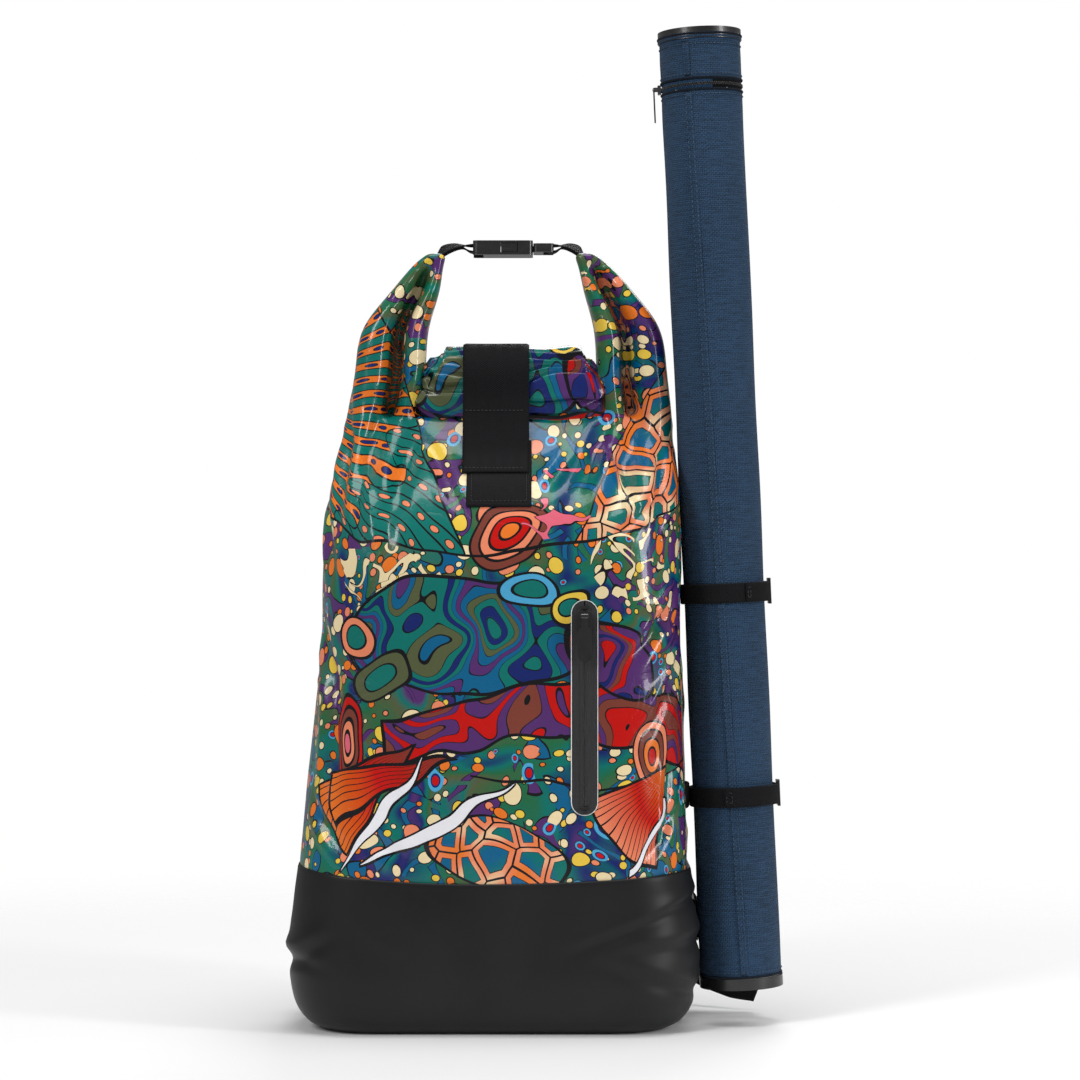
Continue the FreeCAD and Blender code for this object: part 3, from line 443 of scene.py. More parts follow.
def print_group():
    tree, given, out = new_group("tarp_print", [("Surface", "Vector")], [("Color", "Color")])
    round_bag, height, _ = split(tree, given.outputs["Surface"])
    sheet = add_node(tree, "CombineXYZ", ((0, round_bag.math("WRAP", PANEL, -PANEL)), (1, height)))
    drawn = add_node(tree, "TexNoise", (("Vector", sheet.outputs[0]), ("Scale", 26.0), ("Detail", 0.0)))
    shift = add_node(tree, "VectorMath", ((0, drawn.outputs["Color"]), (1, (0.5, 0.5, 0.5))),
                     operation="SUBTRACT")
    shift = add_node(tree, "VectorMath", ((0, shift.outputs[0]), ("Scale", 0.016)), operation="SCALE")
    flat = add_node(tree, "VectorMath", ((0, sheet.outputs[0]), (1, shift.outputs[0])),
                    operation="ADD").outputs[0]

    ground = noise_field(tree, flat, 11, 2, 0.8)
    stops = ((0.32, "purple"), (0.39, "navy"), (0.45, "teal"), (0.51, "green"), (0.57, "olive"),
             (0.62, "teal"),
             (0.68, "purple"))
    draw = Drawing(tree, flat, ramp(tree, ground, stops))
    x, z = draw.x, draw.z
    loops = noise_field(tree, flat, 9, 0)
    squiggles(draw, 25, 0.060, "purple", loops > 0.50)
    squiggles(draw, 22, 0.062, "blue", loops < 0.46)
    pebbles(draw, 96, 0.14, 0.30, 0.60)
    pebbles(draw, 52, 0.16, 0.36, 0.72)

    flow = z - (((x + 0.01) * (x + 0.01)) * 1.15 + 0.383)
    low_flow = z - (((x - 0.07) * (x - 0.07)) * 1.0 + 0.199)
    middle_band = (flow < 0) * (low_flow > 0)
    top_left = (flow * -1).either(x + 0.022 + (z - 0.377) * 0.35)
    rays(draw, (-0.215, 0.535), top_left)
    top_right = (flow * -1).either((x * -1 + 0.078) + (z - 0.42) * 0.5)
    patchwork(draw, 44, top_right)
    arches(draw, (0.012, 0.398), (0.034, 0.024), 20, ("brown", "salmon", "red", "orange"))
    worms = (flow > 0.004) * (x > 0.02) * (x < 0.075) * (z < 0.45)
    squiggles(draw, 30, 0.042, "pink", worms)
    draw.line(flow, LINE * 1.4)

    strokes = ellipse(x, z, (-0.088, 0.362), (0.055, 0.026), -12) < 0
    strokes = strokes.either(ellipse(x, z, (0.118, 0.375), (0.042, 0.030), 8) < 0)
    squiggles(draw, 30, 0.050, "cream", strokes * middle_band)

    swell = z - ((x * 16 + 0.6).sine() * 0.016 + 0.243)
    band = (abs(swell) - 0.019 - x * 0.03).either(x * -1 - 0.085)
    agate(draw, 19, 13, ("purple", "brown", "red", "brown", "purple", "red"), band)
    stone = ellipse(x, z + (x * 9).sine() * 0.012, (-0.022, 0.316), (0.104, 0.046), 8)
    agate(draw, 17, 17, ("blue", "teal", "navy", "teal", "olive", "blue", "purple"), stone)
    river_stones = ((-0.090, 0.286, 0.027, 0.018, 30, "olive"), (-0.118, 0.318, 0.020, 0.014, -20, "salmon"),
                    (0.030, 0.352, 0.024, 0.014, -10, "sky"), (0.062, 0.340, 0.016, 0.012, 40, "yellow"))
    for at_x, at_z, wide, tall, turn, colour in river_stones:
        oval = ellipse(x, z, (at_x, at_z), (wide, tall), turn)
        outlined(draw, colour, oval, LINE * 1.3)
        outlined(draw, "teal", oval + tall * 0.45, LINE * 0.8)
    small_stone = ellipse(x, z, (0.098, 0.300), (0.046, 0.026), -24)
    agate(draw, 21, 14, ("purple", "brown", "red", "purple", "navy"), small_stone)

    arches(draw, (-0.122, 0.232), (0.017, 0.036), 0, ("red", "brown", "salmon", "pink"))
    arches(draw, (0.135, 0.222), (0.024, 0.026), -20, ("salmon", "brown", "orange", "red"))
    draw.fill("black", low_flow.inside(LINE * 1.2) * (x > -0.02))

    low_middle = ellipse(x, z, (0.005, 0.146), (0.058, 0.026), -14)
    patchwork(draw, 46, low_middle)
    embers = ("brown", "red", "orange")
    fan(draw, (-0.062, 0.232), 0.105, 0.055, 0.155, 95, embers)
    fan(draw, (-0.030, 0.222), 0.120, 0.02, 0.075, 110, embers)
    run = abs(z - 0.175)
    white = (abs(half_plane(x, z, (-0.055, 0.222), 52)) - 0.0055 + run * 0.10).either(run - 0.046)
    outlined(draw, "white", white)
    run = abs(x + 0.045)
    white = (abs(half_plane(x, z, (-0.045, 0.168), 28)) - 0.0065 + run * 0.09).either(run - 0.062)
    outlined(draw, "white", white)
    fan(draw, (0.160, 0.216), 0.088, 0.045, 0.215, 90, ("orange", "red", "salmon"))
    white = abs(ellipse(x, z, (0.088, 0.212), (0.068, 0.082), -8)) - 0.0032
    white = white.either(x * -1 + 0.105).either(z - 0.19)
    outlined(draw, "white", white)

    patina = noise_field(tree, flat, 6, 3)
    faded = add_node(tree, "HueSaturation",
                     (("Saturation", 1.06), ("Value", patina * 0.35 + 0.82), ("Color", draw.picture)))
    tree.links.new(faded.outputs[0], out.inputs["Color"])
    return tree


tarp_print = print_group()
print("the print has", len(tarp_print.nodes), "nodes")

# %% [markdown]
# ## Finishes
# Every finish starts the same way: a Principled shader, the place that its pattern is read from, and a bump.
# The plain settings, such as coat and sheen, are set on the shader itself.


# %% Finish helpers
def new_finish(name, **shader_settings):
    """A material with a bare Principled shader. Settings are its sockets by name."""
    material = bpy.data.materials.new(name)
    material.use_nodes = True
    tree = material.node_tree
    shader = tree.nodes["Principled BSDF"]
    for label, value in shader_settings.items():
        shader.inputs[label.replace("_", " ")].default_value = value
    return material, tree, shader


def object_place(tree):
    return add_node(tree, "TexCoord").outputs["Object"]


def print_place(tree):
    return add_node(tree, "UVMap", uv_map="print").outputs[0]


def add_bump(tree, shader, height, distance, strength=1.0):
    node = add_node(tree, "Bump", (("Strength", strength), ("Distance", distance), ("Height", height)))
    tree.links.new(node.outputs[0], shader.inputs["Normal"])


def link_level(tree, shader, label, level):
    tree.links.new(socket_of(level), shader.inputs[label])


# %% Printed tarpaulin
def printed_finish():
    """Glossy coated cloth: the print under a clear skin, with fine creases that catch the light."""
    material, tree, shader = new_finish("printed_tarpaulin", Coat_Roughness=0.07, Specular_IOR_Level=0.22)
    flat = print_place(tree)
    picture = use_group(tree, tarp_print, Surface=flat)
    marks = use_group(tree, grain, Vector=object_place(tree), Grain=900.0, Smudge_size=14.0)
    tree.links.new(picture.outputs["Color"], shader.inputs["Base Color"])
    smudge = Field(tree, marks.outputs["Smudge"])
    link_level(tree, shader, "Roughness", smudge * 0.20 + 0.16)
    link_level(tree, shader, "Coat Weight", smudge * 0.4 + 0.16)
    creases = noise_field(tree, object_place(tree), 26, 5, 1.4)
    crumple = abs(creases - 0.5).power(0.5) + Field(tree, marks.outputs["Height"]) * 0.04
    add_bump(tree, shader, crumple, 0.0012, 0.55)
    return material


printed_tarpaulin = printed_finish()


# %% Matt black tarpaulin
def boot_finish():
    material, tree, shader = new_finish("black_tarpaulin", Specular_IOR_Level=0.24)
    place = object_place(tree)
    marks = use_group(tree, grain, Vector=place, Grain=1600.0, Smudge_size=9.0)
    smudge = Field(tree, marks.outputs["Smudge"])
    dusty = ramp(tree, smudge, [(0.35, (0.0075, 0.0075, 0.0085)), (0.7, (0.0125, 0.0125, 0.0135))])
    tree.links.new(dusty, shader.inputs["Base Color"])
    link_level(tree, shader, "Roughness", smudge * 0.22 + 0.33)
    soft = noise_field(tree, place, 9, 3, 0.8)
    add_bump(tree, shader, soft * 3.0 + Field(tree, marks.outputs["Height"]) * 0.05, 0.0016, 0.5)
    return material


black_tarpaulin = boot_finish()


# %% Woven finishes
def webbing_finish(name, base, pitch):
    material, tree, shader = new_finish(name, Roughness=0.72, Specular_IOR_Level=0.09, Sheen_Weight=0.015,
                                        Sheen_Roughness=0.5)
    marks = use_group(tree, ribs, Vector=print_place(tree), Pitch=pitch)
    worn = noise_field(tree, object_place(tree), 60, 3)
    # The colour carries the ribs' painted shade, times a random worn tone.
    shade = Field(tree, marks.outputs["Shade"]) * (worn * 0.5 + 0.75)
    light = tuple(min(c * 2.1, 1.0) for c in base)
    tree.links.new(ramp(tree, shade, [(0.35, base), (1.0, light)]), shader.inputs["Base Color"])
    add_bump(tree, shader, marks.outputs["Height"], 0.0006, 0.8)
    return material


def cloth_finish(name, base, pitch, uv=True, depth=0.0004, slubs=(900, 60, 60), contrast=1.0, gloss=0.12):
    """Plain-woven cloth. Painted shade darkens the gaps between the threads, the threads vary in tone, and a
    slow noise lets the cloth look handled.
    """
    material, tree, shader = new_finish(name, Roughness=0.75, Specular_IOR_Level=gloss, Sheen_Weight=0.04,
                                        Sheen_Roughness=0.4)
    place = print_place(tree) if uv else object_place(tree)
    marks = use_group(tree, weave, Vector=place, Pitch=pitch, Unevenness=0.9)
    stretched = add_node(tree, "Mapping", ((0, place), ("Scale", slubs)))
    threads = noise_field(tree, stretched.outputs[0], 1.0, 2)
    handled = noise_field(tree, object_place(tree), 12, 3)
    # Painted shade between the threads, plus real tone from slubs along them and from handling.
    shade = Field(tree, marks.outputs["Shade"]) * 0.50 + threads * 0.45 * contrast + handled * 0.25
    dark = tuple(c * 0.62 ** contrast for c in base)
    light = tuple(min(c * 1.55 ** contrast, 1.0) for c in base)
    middle = 0.50 + 0.225 * contrast - 0.10
    tree.links.new(ramp(tree, shade, [(middle - 0.24, dark), (middle, base), (middle + 0.24, light)]),
                   shader.inputs["Base Color"])
    add_bump(tree, shader, marks.outputs["Height"], depth, 0.9)
    return material


black_webbing = webbing_finish("black_webbing", (0.0042, 0.0042, 0.0048), 620.0)
NAVY = (0.012, 0.033, 0.068)
navy_cloth = cloth_finish("navy_cloth", NAVY, 640.0, depth=0.0006, slubs=(70, 640, 60), contrast=1.5,
                          gloss=0.25)
zip_tape_cloth = cloth_finish("zip_tape", (0.036, 0.036, 0.038), 1500.0)
strap_cloth = cloth_finish("strap_cloth", (0.0065, 0.0065, 0.0075), 1200.0)
lining_cloth = cloth_finish("lining_cloth", (0.010, 0.010, 0.012), 1200.0, uv=False)
piping_cloth = cloth_finish("piping", (0.006, 0.010, 0.018), 1300.0)


# %% Spacer mesh for the back
def mesh_finish():
    """Open spacer mesh: rows of small oval holes in a black knit, painted darker inside the holes as painted
    shade.
    """
    material, tree, shader = new_finish("back_mesh", Roughness=0.8, Specular_IOR_Level=0.2, Sheen_Weight=0.03)
    holes = add_node(tree, "TexVoronoi",
                     (("Vector", print_place(tree)), ("Scale", 330.0), ("Randomness", 0.12)),
                     voronoi_dimensions="2D")
    open_knit = Field(tree, holes.outputs["Distance"]).smooth(0.22, 0.42)
    handled = noise_field(tree, object_place(tree), 14, 3)
    # Painted shade: the holes are darker, times a random handled tone.
    shade = open_knit * (handled * 0.5 + 0.6)
    tree.links.new(ramp(tree, shade, [(0.0, (0.003, 0.003, 0.003)), (0.8, (0.018, 0.018, 0.020))]),
                   shader.inputs["Base Color"])
    add_bump(tree, shader, open_knit, 0.0010, 0.9)
    return material


back_mesh = mesh_finish()


# %% Moulded plastic and metal
def moulded_finish(name, base, roughness, coat=0.0, metallic=0.0, grain_depth=0.00006):
    """Moulded plastic or plated metal with fine grain, handling smudges and light scratches."""
    material, tree, shader = new_finish(name, Coat_Roughness=0.12, Metallic=metallic)
    marks = use_group(tree, grain, Vector=object_place(tree), Grain=2400.0, Smudge_size=70.0)
    smudge, scratches = (Field(tree, marks.outputs[n]) for n in ("Smudge", "Scratches"))
    worn = tuple(min(c * 1.7 + 0.004, 1.0) for c in base)
    tree.links.new(ramp(tree, smudge + scratches * 0.35, [(0.3, base), (0.9, worn)]),
                   shader.inputs["Base Color"])
    link_level(tree, shader, "Roughness", smudge * 0.20 + scratches * 0.12 + (roughness - 0.08))
    link_level(tree, shader, "Coat Weight", smudge * 0.2 + coat)
    add_bump(tree, shader, Field(tree, marks.outputs["Height"]) + scratches * 0.3, grain_depth, 0.7)
    return material


buckle_plastic = moulded_finish("buckle_plastic", (0.008, 0.008, 0.009), 0.26, coat=0.2)
cap_plastic = moulded_finish("cap_plastic", (0.007, 0.007, 0.008), 0.32, coat=0.15)
zip_coil_plastic = moulded_finish("zip_coil", (0.012, 0.012, 0.012), 0.34)
gunmetal = moulded_finish("gunmetal", (0.10, 0.10, 0.105), 0.24, metallic=0.9)
gloss_black_metal = moulded_finish("gloss_black_metal", (0.006, 0.006, 0.007), 0.14, coat=0.5)
tube_liner = moulded_finish("tube_liner", (0.50, 0.50, 0.47), 0.5, grain_depth=0.0001)
stiffener_plastic = moulded_finish("stiffener_plastic", (0.05, 0.05, 0.05), 0.45)
print("finishes:", len(bpy.data.materials))

# %% [markdown]
# ## Studio
# The pack stands on a pale floor that fades into pale air, so it can be looked at from every side. A soft
# light from the upper left gives the long highlights on the coated cloth, and weaker ones from the right,
# from above and from behind fill the shadows. The air looks nearly white but lights the pack only softly, so
# that black stays black.


# %% Floor
def studio_floor():
    """A round floor that fades into the pale air around it, so that no horizon shows from any side."""
    bm = bmesh.new()
    bmesh.ops.create_circle(bm, cap_ends=True, segments=64, radius=3.2)
    mesh = bpy.data.meshes.new("floor")
    bm.to_mesh(mesh)
    bm.free()
    floor = bpy.data.objects.new("floor", mesh)
    bpy.context.collection.objects.link(floor)
    material, tree, shader = new_finish("pale_floor", Roughness=0.6)
    x, y, _ = split(tree, object_place(tree))
    tone = ramp(tree, noise_field(tree, object_place(tree), 2, 2),
                [(0.3, (0.93, 0.93, 0.94)), (0.7, (0.96, 0.96, 0.96))])
    tree.links.new(tone, shader.inputs["Base Color"])
    link_level(tree, shader, "Alpha", (x * x + y * y).power(0.5).smooth(0.25, 1.3) * -1 + 1)
    mesh.materials.append(material)


studio_floor()


# %% Lights
def soft_light(name, place, size, power, aim=(0.04, 0.0, 0.38)):
    data = bpy.data.lights.new(name, "AREA")
    data.shape = "RECTANGLE"
    data.size, data.size_y = size
    data.energy = power
    light = bpy.data.objects.new(name, data)
    light.location = place
    light.rotation_euler = (Vector(aim) - Vector(place)).to_track_quat("-Z", "Y").to_euler()
    bpy.context.collection.objects.link(light)


soft_light("key", (-1.5, -1.7, 1.7), (0.6, 1.3), 30)
soft_light("fill", (2.1, -1.1, 0.9), (0.4, 1.4), 26)
soft_light("top", (0.1, -0.2, 2.3), (1.4, 1.0), 22)
soft_light("back", (0.6, 2.4, 2.0), (1.6, 1.0), 26, (0.04, 0.1, 0.4))
world = bpy.data.worlds.new("studio_air")
world.use_nodes = True
air = world.node_tree
air.nodes["Background"].inputs[0].default_value = (1, 1, 1, 1)
seen = Field(air, add_node(air, "LightPath").outputs["Is Camera Ray"])
AIR_SEEN, AIR_LIGHT = 1.0, 0.28
air.links.new((seen * (AIR_SEEN - AIR_LIGHT) + AIR_LIGHT).socket, air.nodes["Background"].inputs[1])
bpy.context.scene.world = world

# %% [markdown]
# ## Mesh helpers
# Nearly everything here is cloth wrapped round something, so one helper does the wrapping: it makes a flat
# grid, writes each corner's flat place in metres into a UV map called print, and then carries every vertex
# to its place in space. Where the sheet meets itself the doubles are merged, and the normals are made to
# face out.


# %% Wrapped sheet
def wrapped_sheet(across, up, place, spread):
    """A grid carried to place(u, v), with its flat lie given by spread(u, v) in metres."""
    bm = bmesh.new()
    lie = bm.loops.layers.uv.new("print")
    bmesh.ops.create_grid(bm, x_segments=across, y_segments=up, size=0.5)
    for face in bm.faces:
        for loop in face.loops:
            loop[lie].uv = spread(loop.vert.co.x + 0.5, loop.vert.co.y + 0.5)
    for vert in bm.verts:
        vert.co = place(vert.co.x + 0.5, vert.co.y + 0.5)
    bmesh.ops.remove_doubles(bm, verts=bm.verts, dist=2e-6)
    bmesh.ops.recalc_face_normals(bm, faces=bm.faces)
    return bm


def close_holes(bm):
    """Fills the open ends of a wrapped sheet."""
    edges = [edge for edge in bm.edges if edge.is_boundary]
    if edges:
        bmesh.ops.holes_fill(bm, edges=edges, sides=0)
        bmesh.ops.recalc_face_normals(bm, faces=bm.faces)
    if bm.calc_volume(signed=True) < 0:
        bmesh.ops.reverse_faces(bm, faces=bm.faces)
    return bm


# %% Finished pieces
def add_object(name, bm, material):
    mesh = bpy.data.meshes.new(name)
    bm.to_mesh(mesh)
    bm.free()
    for polygon in mesh.polygons:
        polygon.use_smooth = True
    piece = bpy.data.objects.new(name, mesh)
    bpy.context.collection.objects.link(piece)
    mesh.materials.append(material)
    return piece


def keep_piece(piece, body="pack", nodes=(), blend=None):
    """Lets a piece ride on its body, or fixes it where it lies when blend is given, and says which plain
    solids it stands for.
    """
    if blend:
        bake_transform(piece)
    else:
        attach(piece, body)
    if nodes:
        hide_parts(*nodes)
    print(f"{piece.name}: {len(piece.data.vertices)} points")
    return piece


def make(name, bm, material, body="pack", nodes=()):
    """A new piece that is finished, and rides on its body."""
    return keep_piece(add_object(name, bm, material), body, nodes)


def apply_modifiers(piece):
    """Turns the shape that the modifiers make into the piece's own mesh."""
    depsgraph = bpy.context.evaluated_depsgraph_get()
    mesh = bpy.data.meshes.new_from_object(piece.evaluated_get(depsgraph))
    piece.modifiers.clear()
    old, piece.data = piece.data, mesh
    bpy.data.meshes.remove(old)
    for polygon in mesh.polygons:
        polygon.use_smooth = True
    return piece


# %% Sections and paths
def lerp(a, b, share):
    return a + (b - a) * share


def ease(share):
    """A share from 0 to 1 with a soft start and a soft end."""
    share = min(max(share, 0.0), 1.0)
    return share * share * (3 - 2 * share)


def through(stations, key):
    """Values between stations (key, values...), on a smooth curve without overshoot."""
    keys = [s[0] for s in stations]
    key = min(max(key, keys[0]), keys[-1])
    n = max(i for i in range(len(keys) - 1) if keys[i] <= key)
    share = (key - keys[n]) / (keys[n + 1] - keys[n])
    ends = []
    for i in (n, n + 1):
        before, after = max(i - 1, 0), min(i + 1, len(keys) - 1)
        ends.append([(b - a) / (keys[after] - keys[before]) * (keys[n + 1] - keys[n])
                     for a, b in zip(stations[before][1:], stations[after][1:])])
    t, t2, t3 = share, share ** 2, share ** 3
    return [a * (2 * t3 - 3 * t2 + 1) + b * (3 * t2 - 2 * t3) + p * (t3 - 2 * t2 + t) + q * (t3 - t2)
            for a, b, p, q in zip(stations[n][1:], stations[n + 1][1:], *ends)]


def rounded_outline(run, half_wide, half_deep, corner):
    """The point of a rounded rectangle at a signed run along it from the middle of its front edge."""
    side = 1 if run >= 0 else -1
    run = abs(run)
    flat_front, flat_side, arc = half_wide - corner, 2 * (half_deep - corner), corner * math.pi / 2
    if run < flat_front:
        x, y = run, -half_deep
    elif run < flat_front + arc:
        turn = (run - flat_front) / corner
        x, y = flat_front + corner * math.sin(turn), -half_deep + corner - corner * math.cos(turn)
    elif run < flat_front + arc + flat_side:
        x, y = half_wide, -half_deep + corner + run - flat_front - arc
    elif run < flat_front + 2 * arc + flat_side:
        turn = (run - flat_front - arc - flat_side) / corner
        x, y = flat_front + corner * math.cos(turn), half_deep - corner + corner * math.sin(turn)
    else:
        x, y = max(flat_front - (run - flat_front - 2 * arc - flat_side), 0), half_deep
    return side * x, y


def outline_length(half_wide, half_deep, corner):
    return 4 * (half_wide - corner) + 4 * (half_deep - corner) + math.tau * corner


def outline_spot(u, half_wide, half_deep, corner):
    """The point of a rounded rectangle at a share of the way round it."""
    run = (u - 0.5) * outline_length(half_wide, half_deep, corner)
    return rounded_outline(run, half_wide, half_deep, corner)


# %% [markdown]
# ## The printed bag
# The bag is one skin: an upright tube of coated cloth whose two upper corners run up into the ears beside
# the handle. Three closed forms, the body and the two ears, are wrapped first. A voxel remesh then melts
# them into one surface, a few smoothing passes turn the joins into flowing cloth, and folds are pressed in
# last.

# %% Body form
shell_high, boot_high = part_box("body_shell")[1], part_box("base_boot")[1]
roll_low, roll_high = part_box("roll_top")
seam_z, mouth_z = boot_high.z, shell_high.z
shoulder_z = seam_z + 0.77 * (mouth_z - seam_z)
waist_z = (seam_z + mouth_z) / 2
BODY_STATIONS = [
    # height, middle x, middle y, half width, half depth, corner
    (seam_z - 0.012, 0.000, 0.000, 0.1565, 0.0845, 0.058),
    (seam_z + 0.010, 0.000, 0.000, 0.1570, 0.0855, 0.058),
    (seam_z + 0.090, 0.002, 0.000, 0.1520, 0.0860, 0.060),
    (waist_z, 0.005, 0.000, 0.1455, 0.0860, 0.060),
    (shoulder_z - 0.015, 0.006, 0.000, 0.1430, 0.0850, 0.058),
    (shoulder_z + 0.030, 0.008, 0.003, 0.1415, 0.0675, 0.048),
    (mouth_z - 0.018, 0.011, 0.013, 0.1370, 0.0360, 0.026),
    (mouth_z + 0.000, 0.012, 0.015, 0.1320, 0.0240, 0.018),
    (mouth_z + 0.013, 0.013, 0.016, 0.1240, 0.0160, 0.011),
]


def body_place(u, v):
    height = lerp(BODY_STATIONS[0][0], BODY_STATIONS[-1][0], v)
    mx, my, wide, deep, corner = through(BODY_STATIONS, height)
    x, y = outline_spot(u, wide, deep, corner)
    return Vector((mx + x, my + y, height))


def no_lie(u, v):
    """For a form that is remeshed or has a plain finish, where the flat lie is not read."""
    return u, v


body_form = close_holes(wrapped_sheet(160, 70, body_place, no_lie))

# %% Ear forms
EAR_STATIONS = {
    side: [
        (mouth_z - 0.055, foot - side * 0.006, 0.0055, 0.026, 0.044, 0.022),
        (mouth_z - 0.005, foot, 0.0140, 0.0270, 0.0270, 0.018),
        (mouth_z + 0.045, lerp(foot, middle, 0.72), 0.0150, 0.0285, 0.0245, 0.016),
        (mouth_z + 0.085, middle - side * 0.002, 0.0150, 0.0265, 0.0235, 0.015),
        (mouth_z + 0.118, high - side * 0.001, 0.0150, 0.0185, 0.0205, 0.012),
        (mouth_z + 0.138, lerp(high, top, 0.62), 0.0150, 0.0115, 0.0170, 0.009),
        (mouth_z + 0.1465, top, 0.0150, 0.0075, 0.0148, 0.006),
    ]
    for side, foot, middle, high, top in ((-1, -0.095, -0.083, -0.065, -0.047),
                                          (1, 0.119, 0.1105, 0.0925, 0.072))
}


def ear_place(side):
    """The ear is pinched by a deep fold that runs up its front."""
    stations = EAR_STATIONS[side]

    def place(u, v):
        height = lerp(stations[0][0], stations[-1][0], v)
        mx, my, wide, deep, corner = through(stations, height)
        x, y = outline_spot(u, wide, deep, corner)
        fold_at = -side * wide * lerp(0.28, 0.05, v)
        fold = math.exp(-((x - fold_at) / (0.0050 + 0.003 * (1 - v))) ** 2) * ease(v * 4) * ease((1 - v) * 9)
        if y < 0:
            y += fold * min(deep * 1.6, 0.036)
        return Vector((mx + x, my + y, height))

    return place


ear_forms = {side: close_holes(wrapped_sheet(96, 60, ear_place(side), no_lie)) for side in (-1, 1)}

# %% One skin
VOXEL = 0.0032
skin_form = bmesh.new()
for form in (body_form, *ear_forms.values()):
    part = bpy.data.meshes.new("part")
    form.to_mesh(part)
    form.free()
    skin_form.from_mesh(part)
    bpy.data.meshes.remove(part)
printed_skin = add_object("printed_skin", skin_form, printed_tarpaulin)
melt = printed_skin.modifiers.new("melt", "REMESH")
melt.mode = "VOXEL"
melt.voxel_size = VOXEL
soften = printed_skin.modifiers.new("soften", "SMOOTH")
soften.factor = 0.5
soften.iterations = 9
apply_modifiers(printed_skin)
print("skin:", len(printed_skin.data.vertices), "points")

# %% [markdown]
# Coated cloth does not ripple softly like cotton. It buckles: a sharp ridge beside a shallow trough, in
# straight runs that start where the cloth is pinched, at the roll's ends, the boot seam and the strap
# anchors. Each fold here is a line between two points on the flat print, with a width and a depth, and fades
# at both ends.

# %% Folds
FOLDS = [
    # start (round, height), end (round, height), half width, depth
    ((-0.118, 0.520), (-0.150, 0.395), 0.0080, 0.0050), ((-0.090, 0.500), (-0.120, 0.405), 0.0060, 0.0042),
    ((-0.062, 0.492), (-0.088, 0.385), 0.0070, 0.0045), ((-0.058, 0.480), (-0.020, 0.405), 0.0050, 0.0028),
    ((-0.105, 0.470), (-0.078, 0.372), 0.0050, 0.0026),
    ((0.098, 0.500), (0.060, 0.418), 0.0060, 0.0045), ((0.115, 0.500), (0.095, 0.400), 0.0080, 0.0055),
    ((0.090, 0.478), (0.128, 0.408), 0.0050, 0.0040), ((0.140, 0.470), (0.150, 0.390), 0.0070, 0.0045),
    ((0.070, 0.470), (0.035, 0.424), 0.0050, 0.0026), ((0.135, 0.425), (0.085, 0.392), 0.0050, 0.0032),
    ((0.185, 0.352), (0.100, 0.292), 0.0060, 0.0050), ((0.190, 0.330), (0.120, 0.330), 0.0050, 0.0034),
    ((0.185, 0.290), (0.118, 0.236), 0.0060, 0.0036), ((0.200, 0.310), (0.138, 0.262), 0.0040, 0.0030),
    ((-0.185, 0.330), (-0.128, 0.250), 0.0090, 0.0036), ((-0.150, 0.300), (-0.138, 0.160), 0.0100, 0.0038),
    ((-0.178, 0.190), (-0.112, 0.142), 0.0060, 0.0032), ((0.180, 0.185), (0.122, 0.140), 0.0060, 0.0036),
    ((0.165, 0.225), (0.150, 0.150), 0.0070, 0.0030), ((-0.100, 0.160), (-0.060, 0.134), 0.0050, 0.0018),
    ((0.060, 0.160), (0.105, 0.134), 0.0050, 0.0018), ((-0.190, 0.440), (-0.145, 0.350), 0.0080, 0.0036),
]
for start, end, half, depth in FOLDS[:]:
    # The back has the same folds a little lower, wider and shallower.
    mirrored = [(run + math.copysign(2 * PANEL, -run), height - 0.012) for run, height in (start, end)]
    FOLDS.append((*mirrored, half * 1.15, depth * 0.8))
BAG_MIDDLE, FRONT_FACE = 0.004, -0.06
POUCH_MARGIN = 0.012
fold_start = np.array([f[0] for f in FOLDS])
fold_run = np.array([f[1] for f in FOLDS]) - fold_start
fold_half = np.array([f[2] for f in FOLDS])
fold_depth = np.array([f[3] for f in FOLDS])


def fold_depths(lie):
    """How deep the folds press a point of the flat print in. Lie is an array of (round, height)."""
    away = lie[:, None, :] - fold_start[None]
    length = (fold_run ** 2).sum(1)
    share = (away * fold_run).sum(2) / length
    across = (away[:, :, 0] * fold_run[:, 1] - away[:, :, 1] * fold_run[:, 0]) / np.sqrt(length) / fold_half
    fade = np.clip(share * 5, 0, 1) * np.clip((1 - share) * 2.2, 0, 1)
    trough = np.exp(-across ** 2) - 0.65 * np.exp(-(across - 1.9) ** 2) - 0.3 * np.exp(-(across + 2.2) ** 2)
    return (trough * fade * fold_depth).sum(1)


# %% The flat lie of the skin
def skin_lie(points, facing):
    """Where each point lies on the flat print: round the bag from the front's middle, and height."""
    lies = np.zeros((len(points), 2))
    levels = np.linspace(BODY_STATIONS[0][0], BODY_STATIONS[-1][0], 44)
    rows = np.array([through(BODY_STATIONS, z) for z in levels])
    front_y = np.interp(points[:, 2], levels, rows[:, 1] - rows[:, 3])
    wide = np.interp(points[:, 2], levels, rows[:, 2])
    side = np.sign(facing)
    deep = np.maximum(points[:, 1] - front_y, 0)
    middle_y = front_y + np.interp(points[:, 2], levels, rows[:, 3])
    back = points[:, 1] > middle_y
    around = np.where(back, 2 * wide - side * points[:, 0] + deep, side * points[:, 0] + deep)
    lies[:, 0] = side * around
    lies[:, 1] = points[:, 2]
    return lies


